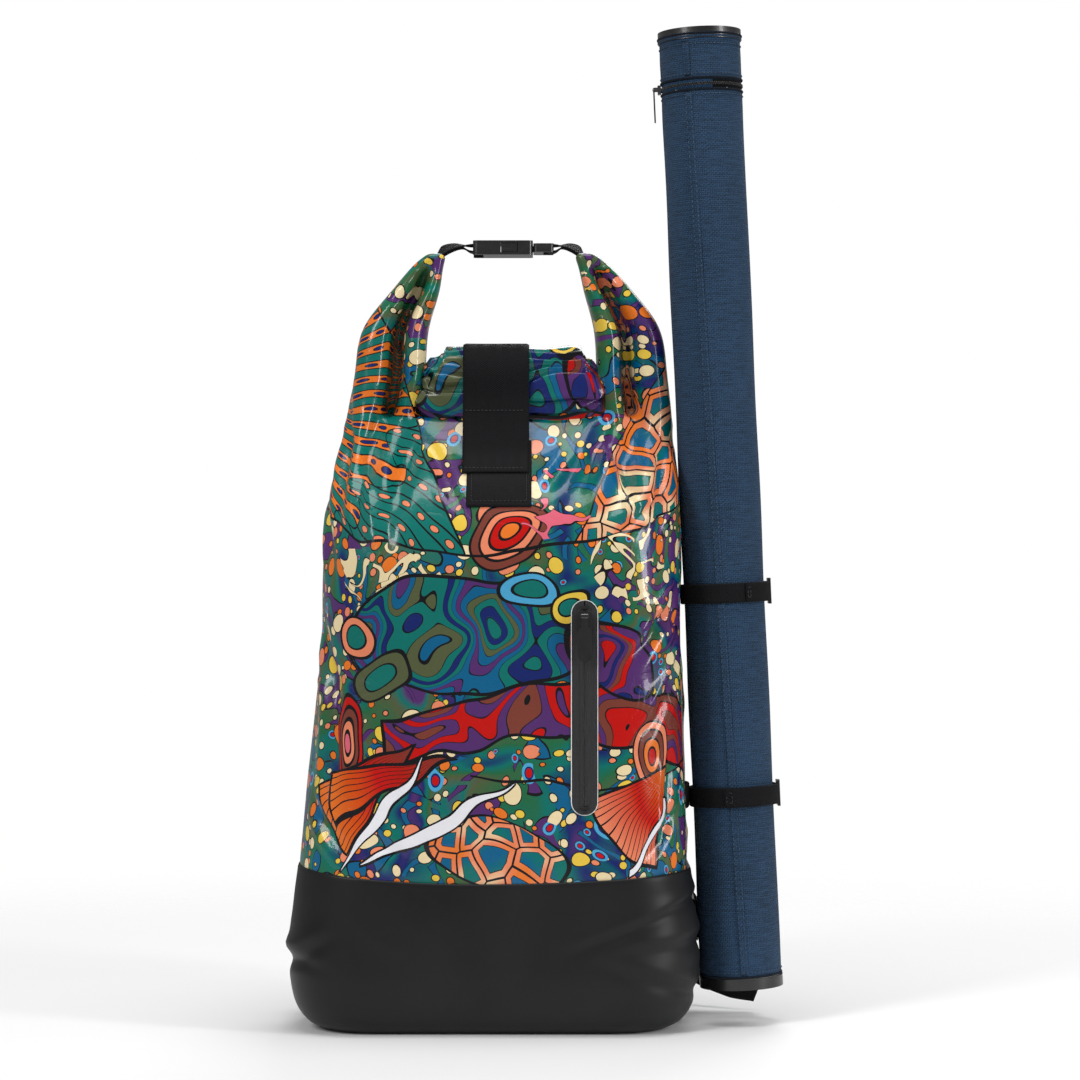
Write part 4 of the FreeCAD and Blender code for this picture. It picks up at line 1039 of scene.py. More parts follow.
def press_folds(piece):
    """Moves the skin along its normals: slow waves, a fine ripple and folds. It lies calm round the zip."""
    mesh = piece.data
    count = len(mesh.vertices)
    points, normals = np.zeros(count * 3), np.zeros(count * 3)
    mesh.vertices.foreach_get("co", points)
    mesh.vertices.foreach_get("normal", normals)
    points, normals = points.reshape(-1, 3), normals.reshape(-1, 3)
    lie = skin_lie(points, points[:, 0] - BAG_MIDDLE)
    press = fold_depths(lie)
    slow = np.array([noise.noise(Vector((x * 9, z * 6, y * 9))) for x, y, z in points]) * 0.0022
    ripple = np.array([noise.noise(Vector((x * 34, z * 20, y * 34 + 7))) for x, y, z in points]) * 0.0007
    front = points[:, 1] < FRONT_FACE
    calm = np.exp(-(((points[:, 0] - zip_x) / 0.022) ** 4)) * front * (points[:, 2] < 0.36)
    ears = np.clip((points[:, 2] - mouth_z + 0.01) / 0.03, 0, 1)
    move = (slow + ripple - press * (1 - 0.4 * ears)) * (1 - calm)
    over_pouch = front
    for axis in (0, 2):
        over_pouch = over_pouch & (points[:, axis] > pouch_low[axis] - POUCH_MARGIN)
        over_pouch = over_pouch & (points[:, axis] < pouch_high[axis] + POUCH_MARGIN)
    move = np.where(over_pouch, np.maximum(move, move * 0.15), move)
    points += normals * move[:, None]
    above = np.clip((points[:, 2] - tape_low.z + 0.022) / 0.015, 0, 1)
    below = np.clip((tape_high.z + 0.022 - points[:, 2]) / 0.015, 0, 1)
    flat = np.exp(-(((points[:, 0] - zip_x) / 0.019) ** 4)) * (points[:, 1] < FRONT_FACE) * above * below
    points[:, 1] += (tape_high.y + 0.0001 - points[:, 1]) * flat
    mesh.vertices.foreach_set("co", points.ravel())
    mesh.update()


def write_lie(piece):
    """Writes the flat lie of every face corner into the print UV map. A face keeps to one side of the bag."""
    mesh = piece.data
    layer = mesh.uv_layers.new(name="print")
    points = np.zeros(len(mesh.vertices) * 3)
    mesh.vertices.foreach_get("co", points)
    points = points.reshape(-1, 3)
    corners = np.zeros(len(mesh.loops), dtype=int)
    mesh.loops.foreach_get("vertex_index", corners)
    facing = np.zeros(len(mesh.loops))
    for polygon in mesh.polygons:
        facing[polygon.loop_start:polygon.loop_start + polygon.loop_total] = polygon.center.x - BAG_MIDDLE
    layer.data.foreach_set("uv", skin_lie(points[corners], facing).ravel())


tape_low, tape_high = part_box("front_zip_tape")
pouch_low, pouch_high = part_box("front_pocket_pouch")
zip_x = (tape_low.x + tape_high.x) / 2
press_folds(printed_skin)
write_lie(printed_skin)
keep_piece(printed_skin, nodes=("body_shell", "ear_left", "ear_right"))

# %% [markdown]
# ## The boot
# The base is a tub of matt black coated cloth, welded over the bag's lower edge. Its lower corners are
# blunt. Its top edge curves up towards the sides and turns in against the bag.

# %% Boot
base_wide = boot_high.x
BOOT_SMILE = 0.012
BOOT_STATIONS = [
    # height, half width, half depth, corner
    (0.0005, base_wide - 0.026, 0.062, 0.046), (0.006, base_wide - 0.016, 0.071, 0.050),
    (0.020, base_wide - 0.006, 0.081, 0.055), (0.042, base_wide - 0.001, 0.0855, 0.059),
    (0.066, base_wide, 0.0862, 0.060), (0.095, base_wide - 0.004, 0.0865, 0.060),
    (seam_z, base_wide - 0.0075, 0.0868, 0.060),
]


def boot_place(u, v):
    """The wall climbs to the lip, and the last rows turn in behind it."""
    wall = min(v / 0.93, 1.0)
    height = lerp(BOOT_STATIONS[0][0], BOOT_STATIONS[-1][0], wall ** 1.15)
    wide, deep, corner = through(BOOT_STATIONS, height)
    smile = ease((wall - 0.4) / 0.6) * BOOT_SMILE
    turn_in = max(v - 0.93, 0) / 0.07
    run = (u - 0.5) * outline_length(wide, deep, corner)
    x, y = rounded_outline(run, wide - 0.004 * turn_in, deep - 0.004 * turn_in, corner)
    sag = noise.noise(Vector((x * 7, y * 7, height * 9 + 3))) * 0.0022 * ease(height / 0.02)
    crease = 0.0
    for at_x, at_z, slope, half, depth in BOOT_CREASES:
        reach = 1 if x > 0 else -1
        across = (height - at_z - slope * (abs(x) - 0.12)) / half
        if reach == (1 if at_x > 0 else -1):
            fade = ease((abs(x) - abs(at_x)) / 0.05)
            crease += (math.exp(-across ** 2) - 0.6 * math.exp(-(across - 1.8) ** 2)) * depth * fade
    edge = 0.0012 * math.sin((x * 9 + 0.4)) if wall > 0.9 else 0
    away = Vector((x, y, 0)).normalized()
    lift = smile * ((x / base_wide) ** 2 * (1.15 if x < 0 else 0.7) - 0.35)
    spot = Vector((x, y, height + lift - 0.001 * turn_in + edge * ease((wall - 0.9) * 10)))
    return spot + away * (sag * (1 - ease((wall - 0.85) * 7)) - crease)


BOOT_CREASES = [
    # starts at x, height, slope, half width, depth
    (0.050, 0.088, 0.35, 0.0050, 0.0026), (0.085, 0.066, 0.10, 0.0060, 0.0028),
    (0.070, 0.045, -0.30, 0.0060, 0.0024),
    (-0.110, 0.080, -0.55, 0.0060, 0.0026), (-0.120, 0.050, 0.20, 0.0050, 0.0020),
]


def boot_lie(u, v):
    """Round the boot and up it, in metres."""
    return (u - 0.5) * 0.86, v * 0.14


make("boot", close_holes(wrapped_sheet(220, 48, boot_place, boot_lie)), black_tarpaulin,
     nodes=("base_boot",))

# %% [markdown]
# ## The roll
# The bag closes by rolling its mouth. The roll lies between the ears, and its ends turn up into them. It is a
# sheet wrapped round a bent line, with pinched folds where the ends turn and a lip where the last turn ends.

# %% Roll
roll_middle = (roll_low + roll_high) / 2
half_roll, roll_deep, roll_tall = (roll_high - roll_low) / 2
ROLL_LINE = [
    # share of the way, x from the middle, rise, half depth, half height
    (0.00, -half_roll - 0.010, 0.013, 0.0110, 0.0140), (0.10, -half_roll - 0.003, 0.008, 0.0170, 0.0235),
    (0.20, -half_roll + 0.006, 0.004, 0.0210, 0.0300),
    (0.34, -0.036, 0.0010, roll_deep * 0.96, roll_tall * 0.97),
    (0.50, 0.000, -0.0010, roll_deep * 0.99, roll_tall),
    (0.66, 0.036, 0.0010, roll_deep * 0.97, roll_tall * 0.98),
    (0.80, half_roll - 0.006, 0.003, 0.0212, 0.0305), (0.90, half_roll + 0.003, 0.006, 0.0168, 0.0240),
    (1.00, half_roll + 0.009, 0.010, 0.0110, 0.0140),
]
ROLL_CREASES = [
    # round the roll (0 at the back, 0.5 at the front), drift along it, half width, depth
    (0.395, 0.080, 0.0085, 0.0040), (0.470, -0.110, 0.0100, 0.0038), (0.560, 0.100, 0.0080, 0.0042),
    (0.630, -0.060, 0.0090, 0.0030), (0.330, -0.080, 0.0100, 0.0030), (0.100, 0.040, 0.0120, 0.0030),
    (0.520, 0.160, 0.0070, 0.0034),
]


def roll_place(u, v):
    x, rise, deep, tall = through(ROLL_LINE, v)
    ahead = through(ROLL_LINE, min(v + 0.01, 1.0))
    behind = through(ROLL_LINE, max(v - 0.01, 0.0))
    along = Vector((ahead[0] - behind[0], 0, ahead[1] - behind[1])).normalized()
    up = Vector((-along.z, 0, along.x))
    turn = (u - 0.5) * math.tau
    plump = 2.6
    y = -math.copysign(abs(math.cos(turn)) ** (2 / plump), math.cos(turn)) * deep
    z = math.copysign(abs(math.sin(turn)) ** (2 / plump), math.sin(turn)) * tall
    press = 0.0
    for at, drift, half, depth in ROLL_CREASES:
        wander = at + drift * (v - 0.5) + 0.010 * math.sin(v * 17 + at * 30)
        across = ((u - wander + 0.5) % 1 - 0.5) / (half * 1.1)
        strength = 0.35 + 0.65 * abs(math.sin(v * 5.2 + at * 21))
        press += (math.exp(-across ** 2) - 0.5 * math.exp(-(across - 1.9) ** 2)) * depth * strength
    pinch = ease((abs(v - 0.5) - 0.24) / 0.16)
    rough = noise.noise(Vector((x * 34, math.cos(turn) * 1.4, math.sin(turn) * 1.4)))
    press += pinch * 0.0026 * math.sin(u * math.tau * 7 + 3 * v) + 0.0030 * rough
    lip = 0.0016 * ease((u - 0.585) / 0.006) * ease((0.93 - u) / 0.2)
    out = Vector((0, y, 0)) + up * z
    out += out.normalized() * (lip - press)
    return Vector((roll_middle.x + x, roll_middle.y, roll_middle.z + rise)) + out


def roll_lie(u, v):
    return (v - 0.5) * 0.23 + 0.012, 0.205 + u * 0.195


make("rolled_mouth", close_holes(wrapped_sheet(150, 130, roll_place, roll_lie)), printed_tarpaulin,
     nodes=("roll_top",))

# %% [markdown]
# ## Straps
# Every strap is a flat section carried along a line. A station says where the strap's middle is, which way
# its width lies and which way it faces. The stations are joined by smooth curves, so a few of them are
# enough.


# %% Strap helpers
def flat_section(u, wide, thick):
    """A point of a strap's section, with round edges: across the width, and out from the middle."""
    return outline_spot(u, wide / 2, thick / 2, thick * 0.42)


def smooth_stations(stations):
    """A function of 0 to 1 that gives (middle, across, facing, width share) along the stations."""
    rows, run = [], 0.0
    for number, station in enumerate(stations):
        middle, across, facing = (Vector(v) for v in station[:3])
        if number:
            run += (middle - Vector(stations[number - 1][0])).length
        across, facing = across.normalized(), facing.normalized()
        rows.append((run, *middle, *across, *facing, station[3] if len(station) > 3 else 1.0))

    def at(share):
        values = through(rows, share * run)
        middle, across, facing = (Vector(values[n:n + 3]) for n in (0, 3, 6))
        across.normalize()
        facing = (facing - across * facing.dot(across)).normalized()
        return middle, across, facing, values[9]

    return at, run


def strap_bmesh(stations, wide, thick, step=0.0025, around=28, wave=0.0003):
    """A flat band along stations. Step is the length of a face along it, and wave its slight unevenness."""
    at, run = smooth_stations(stations)
    steps = max(int(run / step), 6)

    def place(u, v):
        middle, across, facing, share = at(v)
        a, b = flat_section(u, wide * share, thick)
        ripple = wave * noise.noise(Vector((middle.x * 60 + a * 30, middle.z * 60, middle.y * 60)))
        return middle + across * a - facing * (b + ripple)

    def lie(u, v):
        return flat_section(u, wide, thick)[0], v * run

    return close_holes(wrapped_sheet(around, steps, place, lie))


def strap(name, stations, wide, thick, body="pack", nodes=(), material=None, blend=None, **options):
    """A strap of webbing, or of another cloth, that rides on its body, or stays fixed where it lies when
    blend is given.
    """
    piece = add_object(name, strap_bmesh(stations, wide, thick, **options), material or black_webbing)
    return keep_piece(piece, body, nodes, blend)


def side_stations(points, x, facing_out=1):
    """Stations for a strap whose width lies along X and whose line is a list of (y, z)."""
    stations = []
    for n, (y, z) in enumerate(points):
        before, after = points[max(n - 1, 0)], points[min(n + 1, len(points) - 1)]
        run = Vector((0, after[0] - before[0], after[1] - before[1])).normalized()
        stations.append(((x, y, z), (1, 0, 0), Vector((0, run.z, -run.y)) * facing_out))
    return stations


# %% Stitches
thread_finish = moulded_finish("sewing_thread", (0.012, 0.012, 0.014), 0.45)


def stitch_bmesh(lines, length=0.0021, gap=0.0011, radius=0.00034):
    """Small rods end to end along lines. A line is a list of points."""
    bm = bmesh.new()
    for line in lines:
        points = [Vector(p) for p in line]
        reach = [0.0]
        for a, b in zip(points, points[1:]):
            reach.append(reach[-1] + (b - a).length)
        rows = [(r, *p) for r, p in zip(reach, points)]
        run = 0.0
        while run + length <= reach[-1]:
            a, b = (Vector(through(rows, r)) for r in (run, run + length))
            turn = (b - a).to_track_quat("Z", "Y").to_matrix().to_4x4()
            turn.translation = (a + b) / 2
            made = bmesh.ops.create_cone(bm, cap_ends=True, segments=6, radius1=radius, radius2=radius,
                                         depth=length)
            bmesh.ops.transform(bm, matrix=turn, verts=made["verts"])
            run += length + gap
    return bm


def stitches(name, lines, body="pack", slot="black_webbing", material=thread_finish, **options):
    return make(name, stitch_bmesh(lines, **options), material, body)


def box_stitch(at, low, high, wide, lift):
    """A sewn box with a cross on a strap, between two shares of its length."""
    def spot(share, a):
        middle, across, facing, _ = at(share)
        return middle + across * a + facing * lift
    half = wide / 2 - 0.004
    steps = [lerp(low, high, n / 8) for n in range(9)]
    sides = [[spot(s, a) for s in steps] for a in (-half, half)]
    ends = [[spot(s, lerp(-half, half, n / 6)) for n in range(7)] for s in (low, high)]
    cross = [[spot(s, side * lerp(-half, half, n / 8)) for n, s in enumerate(steps)] for side in (-1, 1)]
    return sides + ends + cross


# %% [markdown]
# ## The strap over the roll
# A wide webbing strap is sewn to the bag's back, runs over the roll and grips a patch of hook tape on the
# front. It bends where the flap swings open. Here it is one fixed piece, which does not follow the flap.

# %% Closure strap
skin_tree = BVHTree.FromObject(printed_skin, bpy.context.evaluated_depsgraph_get())
flap_low, flap_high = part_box("closure_flap")
anchor_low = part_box("closure_anchor")[0]
strap_x = (flap_low.x + flap_high.x) / 2
strap_wide = flap_high.x - flap_low.x
strap_thick = 0.0020
strap_top = flap_high.z - strap_thick / 2


def round_roll(side, lift, corner=0.020):
    """Points over one upper corner of the roll and down its face, in (y, z)."""
    y, z = roll_middle.y, roll_middle.z + roll_tall
    turns = [math.radians(d) for d in (0, 22, 45, 68, 90)]
    points = [(y + side * (roll_deep - corner + (corner + lift) * math.sin(t)),
               z - corner + (corner + lift) * math.cos(t))
              for t in turns]
    return points + [(y + side * (roll_deep + lift), roll_middle.z - 0.010)]


def slope_spot(side, height, lift, middle, wide):
    """A point on the bag's shoulder, in (y, z), lifted off the highest fold across a strap's width."""
    found = []
    for share in (-0.5, -0.25, 0, 0.25, 0.5):
        start = Vector((middle + wide * share, side * 0.3, height))
        found.append(skin_tree.ray_cast(start, Vector((0, -side, 0)))[0].y * side)
    return side * (max(found) + lift), height


front_run = round_roll(-1, 0.0032)
front_run += [slope_spot(-1, z, 0.0032, strap_x, strap_wide)
              for z in (flap_low.z + 0.020, flap_low.z + 0.001)]
back_run = round_roll(1, 0.0020)
back_run += [slope_spot(1, z, 0.0016, strap_x, strap_wide)
             for z in (mouth_z - 0.012, mouth_z - 0.040, shoulder_z + 0.020)]
back_run += [(0.0872, shoulder_z - 0.004), (0.0880, anchor_low.z + 0.001)]
closure_line = back_run[::-1] + front_run
closure_stations = side_stations(closure_line, strap_x)
closure_at, closure_run = smooth_stations(closure_stations)
hinge, half_bend = Vector((strap_x, roll_middle.y, strap_top)), Vector((0, 0.005, 0))
strap("closure_strap", closure_stations, strap_wide, strap_thick, nodes=("closure_anchor", "closure_flap"),
      blend=("pack", "closure_flap", hinge + half_bend, hinge - half_bend), around=40)
print("closure strap is", round(closure_run, 3), "m long")

# %% Closure stitching and patch
def cross_lines(at, shares, wide, lift, steps=6):
    """Rows of stitches across a strap, at shares of its length."""
    rows = []
    for share in shares:
        middle, across, facing, _ = at(share)
        rows.append([middle + across * lerp(-wide / 2, wide / 2, n / steps) + facing * lift
                     for n in range(steps + 1)])
    return rows


front_box = cross_lines(closure_at, (0.80, 0.985), strap_wide - 0.004, 0.0012)
stitches("flap_stitches", front_box, "closure_flap")
stitches("anchor_stitches", box_stitch(closure_at, 0.02, 0.13, strap_wide, 0.0012))
patch_low, patch_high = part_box("closure_patch")
patch_x = (patch_low.x + patch_high.x) / 2
patch_wide = patch_high.x - patch_low.x
patch_line = [slope_spot(-1, lerp(patch_high.z - 0.002, patch_low.z + 0.0005, n / 6), 0.0009, patch_x,
                         patch_wide)
              for n in range(7)]
patch_stations = side_stations(patch_line, patch_x)
strap("hook_patch", patch_stations, patch_wide, 0.0014, nodes=("closure_patch",), material=strap_cloth)
patch_at, _ = smooth_stations(patch_stations)
stitches("patch_stitches", box_stitch(patch_at, 0.06, 0.94, patch_wide, 0.0009)[:4])

# %% [markdown]
# ## The handle
# The ears end in loops of webbing that hold the two halves of the buckle. The buckle slides apart to the
# right. The right loop is one fixed piece, which does not follow the buckle's right half.


# %% Handle webbing
HANDLE_TILT = math.radians(26)


def handle_loop(name, node, side, blend=None):
    """A loop from the ear's tip, round the buckle's bar and back. Side is -1 on the left."""
    low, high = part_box(node)
    thick = 0.0015
    top, bottom = high.z - thick / 2, low.z + thick / 2
    middle, radius = (top + bottom) / 2, (top - bottom) / 2
    ear_x = low.x if side < 0 else high.x
    turn_x = (high.x - thick / 2 - radius) if side < 0 else (low.x + thick / 2 + radius)
    rise = 0.010
    points = [(ear_x - side * 0.002, top - rise), (lerp(ear_x, turn_x, 0.16), top - rise * 0.42),
              (lerp(ear_x, turn_x, 0.42), top - rise * 0.06), (lerp(ear_x, turn_x, 0.75), top)]
    points += [(turn_x - side * radius * math.sin(t), middle + radius * math.cos(t))
               for t in (0.0, 0.8, math.pi / 2, 2.34, math.pi)]
    under = 0.0018
    points += [(lerp(ear_x, turn_x, 0.84), bottom + 0.0006), (lerp(ear_x, turn_x, 0.66), top - under),
               (lerp(ear_x, turn_x, 0.38), top - rise * 0.08 - under),
               (lerp(ear_x, turn_x, 0.14), top - rise * 0.46 - under),
               (ear_x - side * 0.001, top - rise - under)]
    stations = []
    for n, (x, z) in enumerate(points):
        before, after = points[max(n - 1, 0)], points[min(n + 1, len(points) - 1)]
        run = Vector((after[0] - before[0], 0, after[1] - before[1])).normalized()
        tilt = -HANDLE_TILT * ease((x - turn_x) / (ear_x - turn_x))
        across = Vector((0, math.cos(tilt), -math.sin(tilt)))
        stations.append(((x, (low.y + high.y) / 2, z), across, across.cross(run) * -side))
    return strap(name, stations, high.y - low.y, thick, nodes=(node,), blend=blend, step=0.0012)


handle_loop("handle_loop_left", "handle_webbing_left", -1)
right_low, right_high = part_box("handle_webbing_right")
handle_loop("handle_loop_right", "handle_webbing_right", 1,
            ("pack", "buckle_male", (right_high.x - 0.004, 0.015, right_high.z),
             (right_low.x + 0.005, 0.015, right_high.z)))

# %% [markdown]
# ## The front zip
# A waterproof zip is sewn behind a slot with round ends. Its tape is two smooth halves that meet over the
# coil, so a groove runs up the middle. A fine pale edge shows where the printed cloth was cut.

# %% Zip tape
zip_half = (tape_high.x - tape_low.x) / 2
zip_middle_z = (tape_low.z + tape_high.z) / 2
zip_tall = (tape_high.z - tape_low.z) / 2


def stadium(share, half_wide, half_tall):
    """A point on an upright outline with round ends, as (x, z)."""
    return outline_spot(share, half_wide, half_tall, half_wide * 0.98)


def tape_lie(u, v):
    """Rings of the outline that shrink towards the middle line."""
    shrink = lerp(1.0, 0.02, v)
    return stadium(u, zip_half * shrink, zip_tall - zip_half * (1 - shrink))


def tape_place(u, v):
    """The middle is raised by the coil and split by a groove."""
    x, z = tape_lie(u, v)
    lift = 0.0007 * ease((zip_half - abs(x)) / 0.0012)
    lift += 0.0008 * math.exp(-((abs(x) - 0.0021) / 0.0019) ** 4) - 0.0006 * math.exp(-(x / 0.00035) ** 2)
    return Vector((zip_x + x, tape_high.y - 0.0003 - lift, zip_middle_z + z))


make("zip_tape", close_holes(wrapped_sheet(200, 60, tape_place, tape_lie)), zip_tape_cloth,
     nodes=("front_zip_tape",))


# %% Coil teeth and pale edge
def coil_bmesh(low, high, pitch=0.0016):
    """Two rows of small rounded teeth, staggered by half a pitch, in the groove of the tape."""
    bm = bmesh.new()
    count = int((high - low) / pitch)
    for n in range(count):
        for side in (-1, 1):
            z = low + (n + 0.25 + 0.25 * side) * pitch
            made = bmesh.ops.create_uvsphere(bm, u_segments=6, v_segments=4, radius=0.5)
            bmesh.ops.scale(bm, vec=(0.0016, 0.0010, pitch * 0.86), verts=made["verts"])
            bmesh.ops.translate(bm, vec=(zip_x + side * 0.00055, tape_high.y - 0.0016, z),
                                verts=made["verts"])
    return bm


coil_low, coil_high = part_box("front_zip_coil")
make("zip_coil", coil_bmesh(coil_low.z, coil_high.z), zip_coil_plastic, nodes=("front_zip_coil",))
pale_edge_finish = cloth_finish("pale_edge", (0.62, 0.62, 0.60), 1500.0, uv=False)


def edge_ring(radius, half_wide, half_tall, y):
    """A thin cord round an upright outline with round ends."""
    def place(u, v):
        x, z = stadium(u, half_wide, half_tall)
        ahead = stadium((u + 0.001) % 1, half_wide, half_tall)
        run = Vector((ahead[0] - x, 0, ahead[1] - z)).normalized()
        turn = v * math.tau
        side = Vector((run.z, 0, -run.x)) * math.cos(turn) + Vector((0, 1, 0)) * math.sin(turn)
        return Vector((zip_x + x, y, zip_middle_z + z)) + side * radius
    return wrapped_sheet(200, 8, place, no_lie)


edge = 0.0004
make("zip_pale_edge", edge_ring(edge, zip_half + edge, zip_tall + edge, tape_high.y - 0.0006),
     pale_edge_finish)

# %% [markdown]
# ## The rod tube
# The tube leans a little towards the bag, so every part of it is drawn about an upright axis and leaned by
# one function, read from the frame's own sliding joint. Woven cloth covers a stiff core. The lid is cut free
# by a zip that runs round the tube, with piping above and below it.

# %% Tube frame
tube_axis = Vector(next(j["axis"] for j in frame["joints"] if j["name"] == "rod_tube_lift")).normalized()
tube_side = Vector((tube_axis.z, 0, -tube_axis.x))
sleeve_low, sleeve_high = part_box("tube_sleeve")
tube_radius = (sleeve_high.y - sleeve_low.y) / 2
tube_y = (sleeve_high.y + sleeve_low.y) / 2
cap_low, cap_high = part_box("tube_bottom_cap")
lid_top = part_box("lid_cap")[1]
cap_radius = (cap_high.y - cap_low.y) / 2
tube_foot = Vector(((cap_low.x + cap_high.x) / 2, tube_y, cap_low.z + cap_radius * abs(tube_axis.x)))
tube_foot.x = cap_high.x - cap_radius * tube_axis.z
tube_length = (lid_top.z - cap_radius * abs(tube_axis.x) - tube_foot.z) / tube_axis.z
band_low, band_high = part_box("tube_zip_band")
band_bottom = (band_low.z + tube_radius * abs(tube_axis.x) - tube_foot.z) / tube_axis.z
band_top = (band_high.z - tube_radius * abs(tube_axis.x) - tube_foot.z) / tube_axis.z
print("tube", round(tube_length, 3), "m long, radius", round(tube_radius, 4), "lid from", round(band_top, 3))


def tube_spot(radius, turn, height):
    """A point about the tube's axis. Turn 0 is away from the bag, and -90 degrees is the front."""
    out = tube_side * (radius * math.cos(turn))
    return tube_foot + tube_axis * height + out + Vector((0, radius * math.sin(turn), 0))


# %% Sleeves and piping
rim, lap = 0.0092, 0.0038


def give_wall(piece, thick=0.0004):
    """Thickens an open tube of cloth inwards, which also closes its rims."""
    wall = piece.modifiers.new("wall", "SOLIDIFY")
    wall.thickness = thick
    wall.offset = -1
    apply_modifiers(piece)


def sleeve_bmesh(low, high, rows):
    """Cloth round the tube between two heights, a little loose, turned under at both ends."""
    def place(u, v):
        height = lerp(low, high, v)
        end = min(v, 1 - v) * (high - low)
        turn = (u - 0.25) * math.tau
        loose = 0.0005 * noise.noise(Vector((math.cos(turn), height * 9, math.sin(turn))))
        loose += 0.0003 * math.sin(height * 36 + turn * 2)
        tuck = -0.0012 * (1 - ease(end / 0.0025))
        over_cap = ease((height - tube_length + rim) / 0.0012) * (cap_radius + 0.0005 - tube_radius)
        return tube_spot(tube_radius + over_cap + loose * ease(end / 0.03) + tuck, turn, height)

    def lie(u, v):
        return u * tube_radius * math.tau, lerp(low, high, v)

    return wrapped_sheet(96, rows, place, lie)


def tube_ring(height, radius, thick, tall=1.0):
    """A cord or band round the tube, as a full ring."""
    def place(u, v):
        turn = v * math.tau
        return tube_spot(radius + thick * math.cos(turn), u * math.tau,
                         height + thick * tall * math.sin(turn))

    def lie(u, v):
        return u * radius * math.tau, v * thick * 6
    return wrapped_sheet(120, 10, place, lie)


sleeve = add_object("tube_cloth", sleeve_bmesh(rim, band_bottom, 260), navy_cloth)
give_wall(sleeve)
keep_piece(sleeve, "rod_tube", ("tube_sleeve",))
lid_cloth = add_object("lid_cloth", sleeve_bmesh(band_top + 0.0002, tube_length - rim + lap, 40), navy_cloth)
give_wall(lid_cloth)
keep_piece(lid_cloth, "tube_lid", ("lid_sleeve",))
for name, height, body in (("piping_low", band_bottom - 0.0012, "rod_tube"),
                           ("piping_high", band_top + 0.0016, "tube_lid"),
                           ("binding_foot", rim + 0.0012, "rod_tube"),
                           ("binding_top", tube_length - rim + lap, "tube_lid")):
    round_cap = (cap_radius - tube_radius) if name == "binding_top" else 0.0
    make(name, tube_ring(height, tube_radius + round_cap + 0.0001, 0.0008, 1.2), piping_cloth,
         body)


# %% Zip band, teeth and seam
def band_bmesh():
    def place(u, v):
        height = lerp(band_bottom, band_top, v)
        groove = 0.0006 * math.exp(-((v - 0.5) / 0.09) ** 2)
        groove -= 0.0005 * math.exp(-((abs(v - 0.5) - 0.2) / 0.1) ** 2)
        return tube_spot(tube_radius - 0.0004 - groove, u * math.tau, height)

    def lie(u, v):
        return lerp(band_bottom, band_top, v), u * tube_radius * math.tau
    return wrapped_sheet(140, 16, place, lie)


band_middle = (band_bottom + band_top) / 2


def band_finish():
    """The navy cloth of the sleeve, with bare black tape where the cover leaves the zip open on the right."""
    material = cloth_finish("lid_zip_cover", NAVY, 640.0, depth=0.0006, slubs=(70, 640, 60), contrast=1.5)
    tree = material.node_tree
    shader = tree.nodes["Principled BSDF"]
    cloth = shader.inputs["Base Color"].links[0].from_socket
    height, around, _ = split(tree, print_place(tree))
    bare = (around > 0.786 * tube_radius * math.tau) * (height - band_middle).inside(0.0033)
    tree.links.new(paint(tree, cloth, (0.004, 0.004, 0.005), bare), shader.inputs["Base Color"])
    return material


zip_band = add_object("lid_zip_tape", band_bmesh(), band_finish())
give_wall(zip_band)
keep_piece(zip_band, "rod_tube", ("tube_zip_band",))
teeth = bmesh.new()
TOOTH_COUNT = 120
for n in range(TOOTH_COUNT):
    for side in (-1, 1):
        turn = (n + 0.25 * side) / TOOTH_COUNT * math.tau
        made = bmesh.ops.create_uvsphere(teeth, u_segments=6, v_segments=4, radius=0.00075)
        bmesh.ops.translate(teeth, verts=made["verts"],
                            vec=tube_spot(tube_radius + 0.0001, turn, band_middle + side * 0.0006))
make("lid_zip_teeth", teeth, zip_coil_plastic, "rod_tube")


def seam_turn(height):
    """The side seam of the cloth creeps round the tube as it climbs."""
    return math.radians(lerp(-88, -114, height / tube_length))


def seam_bmesh(low, high):
    """A felled seam: a flat raised strip with a shallow step along one side."""
    def place(u, v):
        height = lerp(low, high, v)
        across, out = outline_spot(u, 0.0030, 0.0005, 0.0004)
        end = ease(min(v, 1 - v) * (high - low) / 0.002)
        step = 0.0003 if across > 0 else 0.0
        return tube_spot(tube_radius + (0.0002 - out + step) * end, seam_turn(height) + across / tube_radius,
                         height)

    def lie(u, v):
        return u * 0.014, lerp(low, high, v)
    return close_holes(wrapped_sheet(16, max(int((high - low) / 0.004), 8), place, lie))


for name, low, high, body, nodes in (("tube_seam", rim + 0.002, band_bottom - 0.002, "rod_tube",
                                      ("tube_seam",)),
                                     ("lid_seam", band_top + 0.003, tube_length - rim - 0.002, "tube_lid",
                                      ())):
    make(name + "_strip", seam_bmesh(low, high), navy_cloth, body, nodes)

# %% Tube stitches
navy_thread = moulded_finish("navy_thread", (0.020, 0.045, 0.085), 0.55)


def ring_line(height, radius):
    return [tube_spot(radius, n / 90 * math.tau, height) for n in range(91)]


for name, heights, body in (("lid_stitches", (band_top + 0.0050, tube_length - rim - 0.0045), "tube_lid"),
                            ("tube_stitches", (band_bottom - 0.0050, rim + 0.0050), "rod_tube")):
    stitches(name, [ring_line(h, tube_radius + 0.0004) for h in heights], body, "navy_cloth", navy_thread)
seam_lines = [[tube_spot(tube_radius + 0.0011, seam_turn(h) + side * 0.0021 / tube_radius, h)
               for h in (lerp(rim + 0.004, band_bottom - 0.004, n / 60) for n in range(61))]
              for side in (-1, 1)]
stitches("seam_stitches", seam_lines, "rod_tube", "navy_cloth", navy_thread, length=0.0026, gap=0.0014,
         radius=0.00030)


# %% [markdown]
# ## Straps round the tube
# Two webbing straps hold the tube against the bag. Each passes round the tube, through a three-bar glide, and
# back over itself, so part of it is two layers thick.

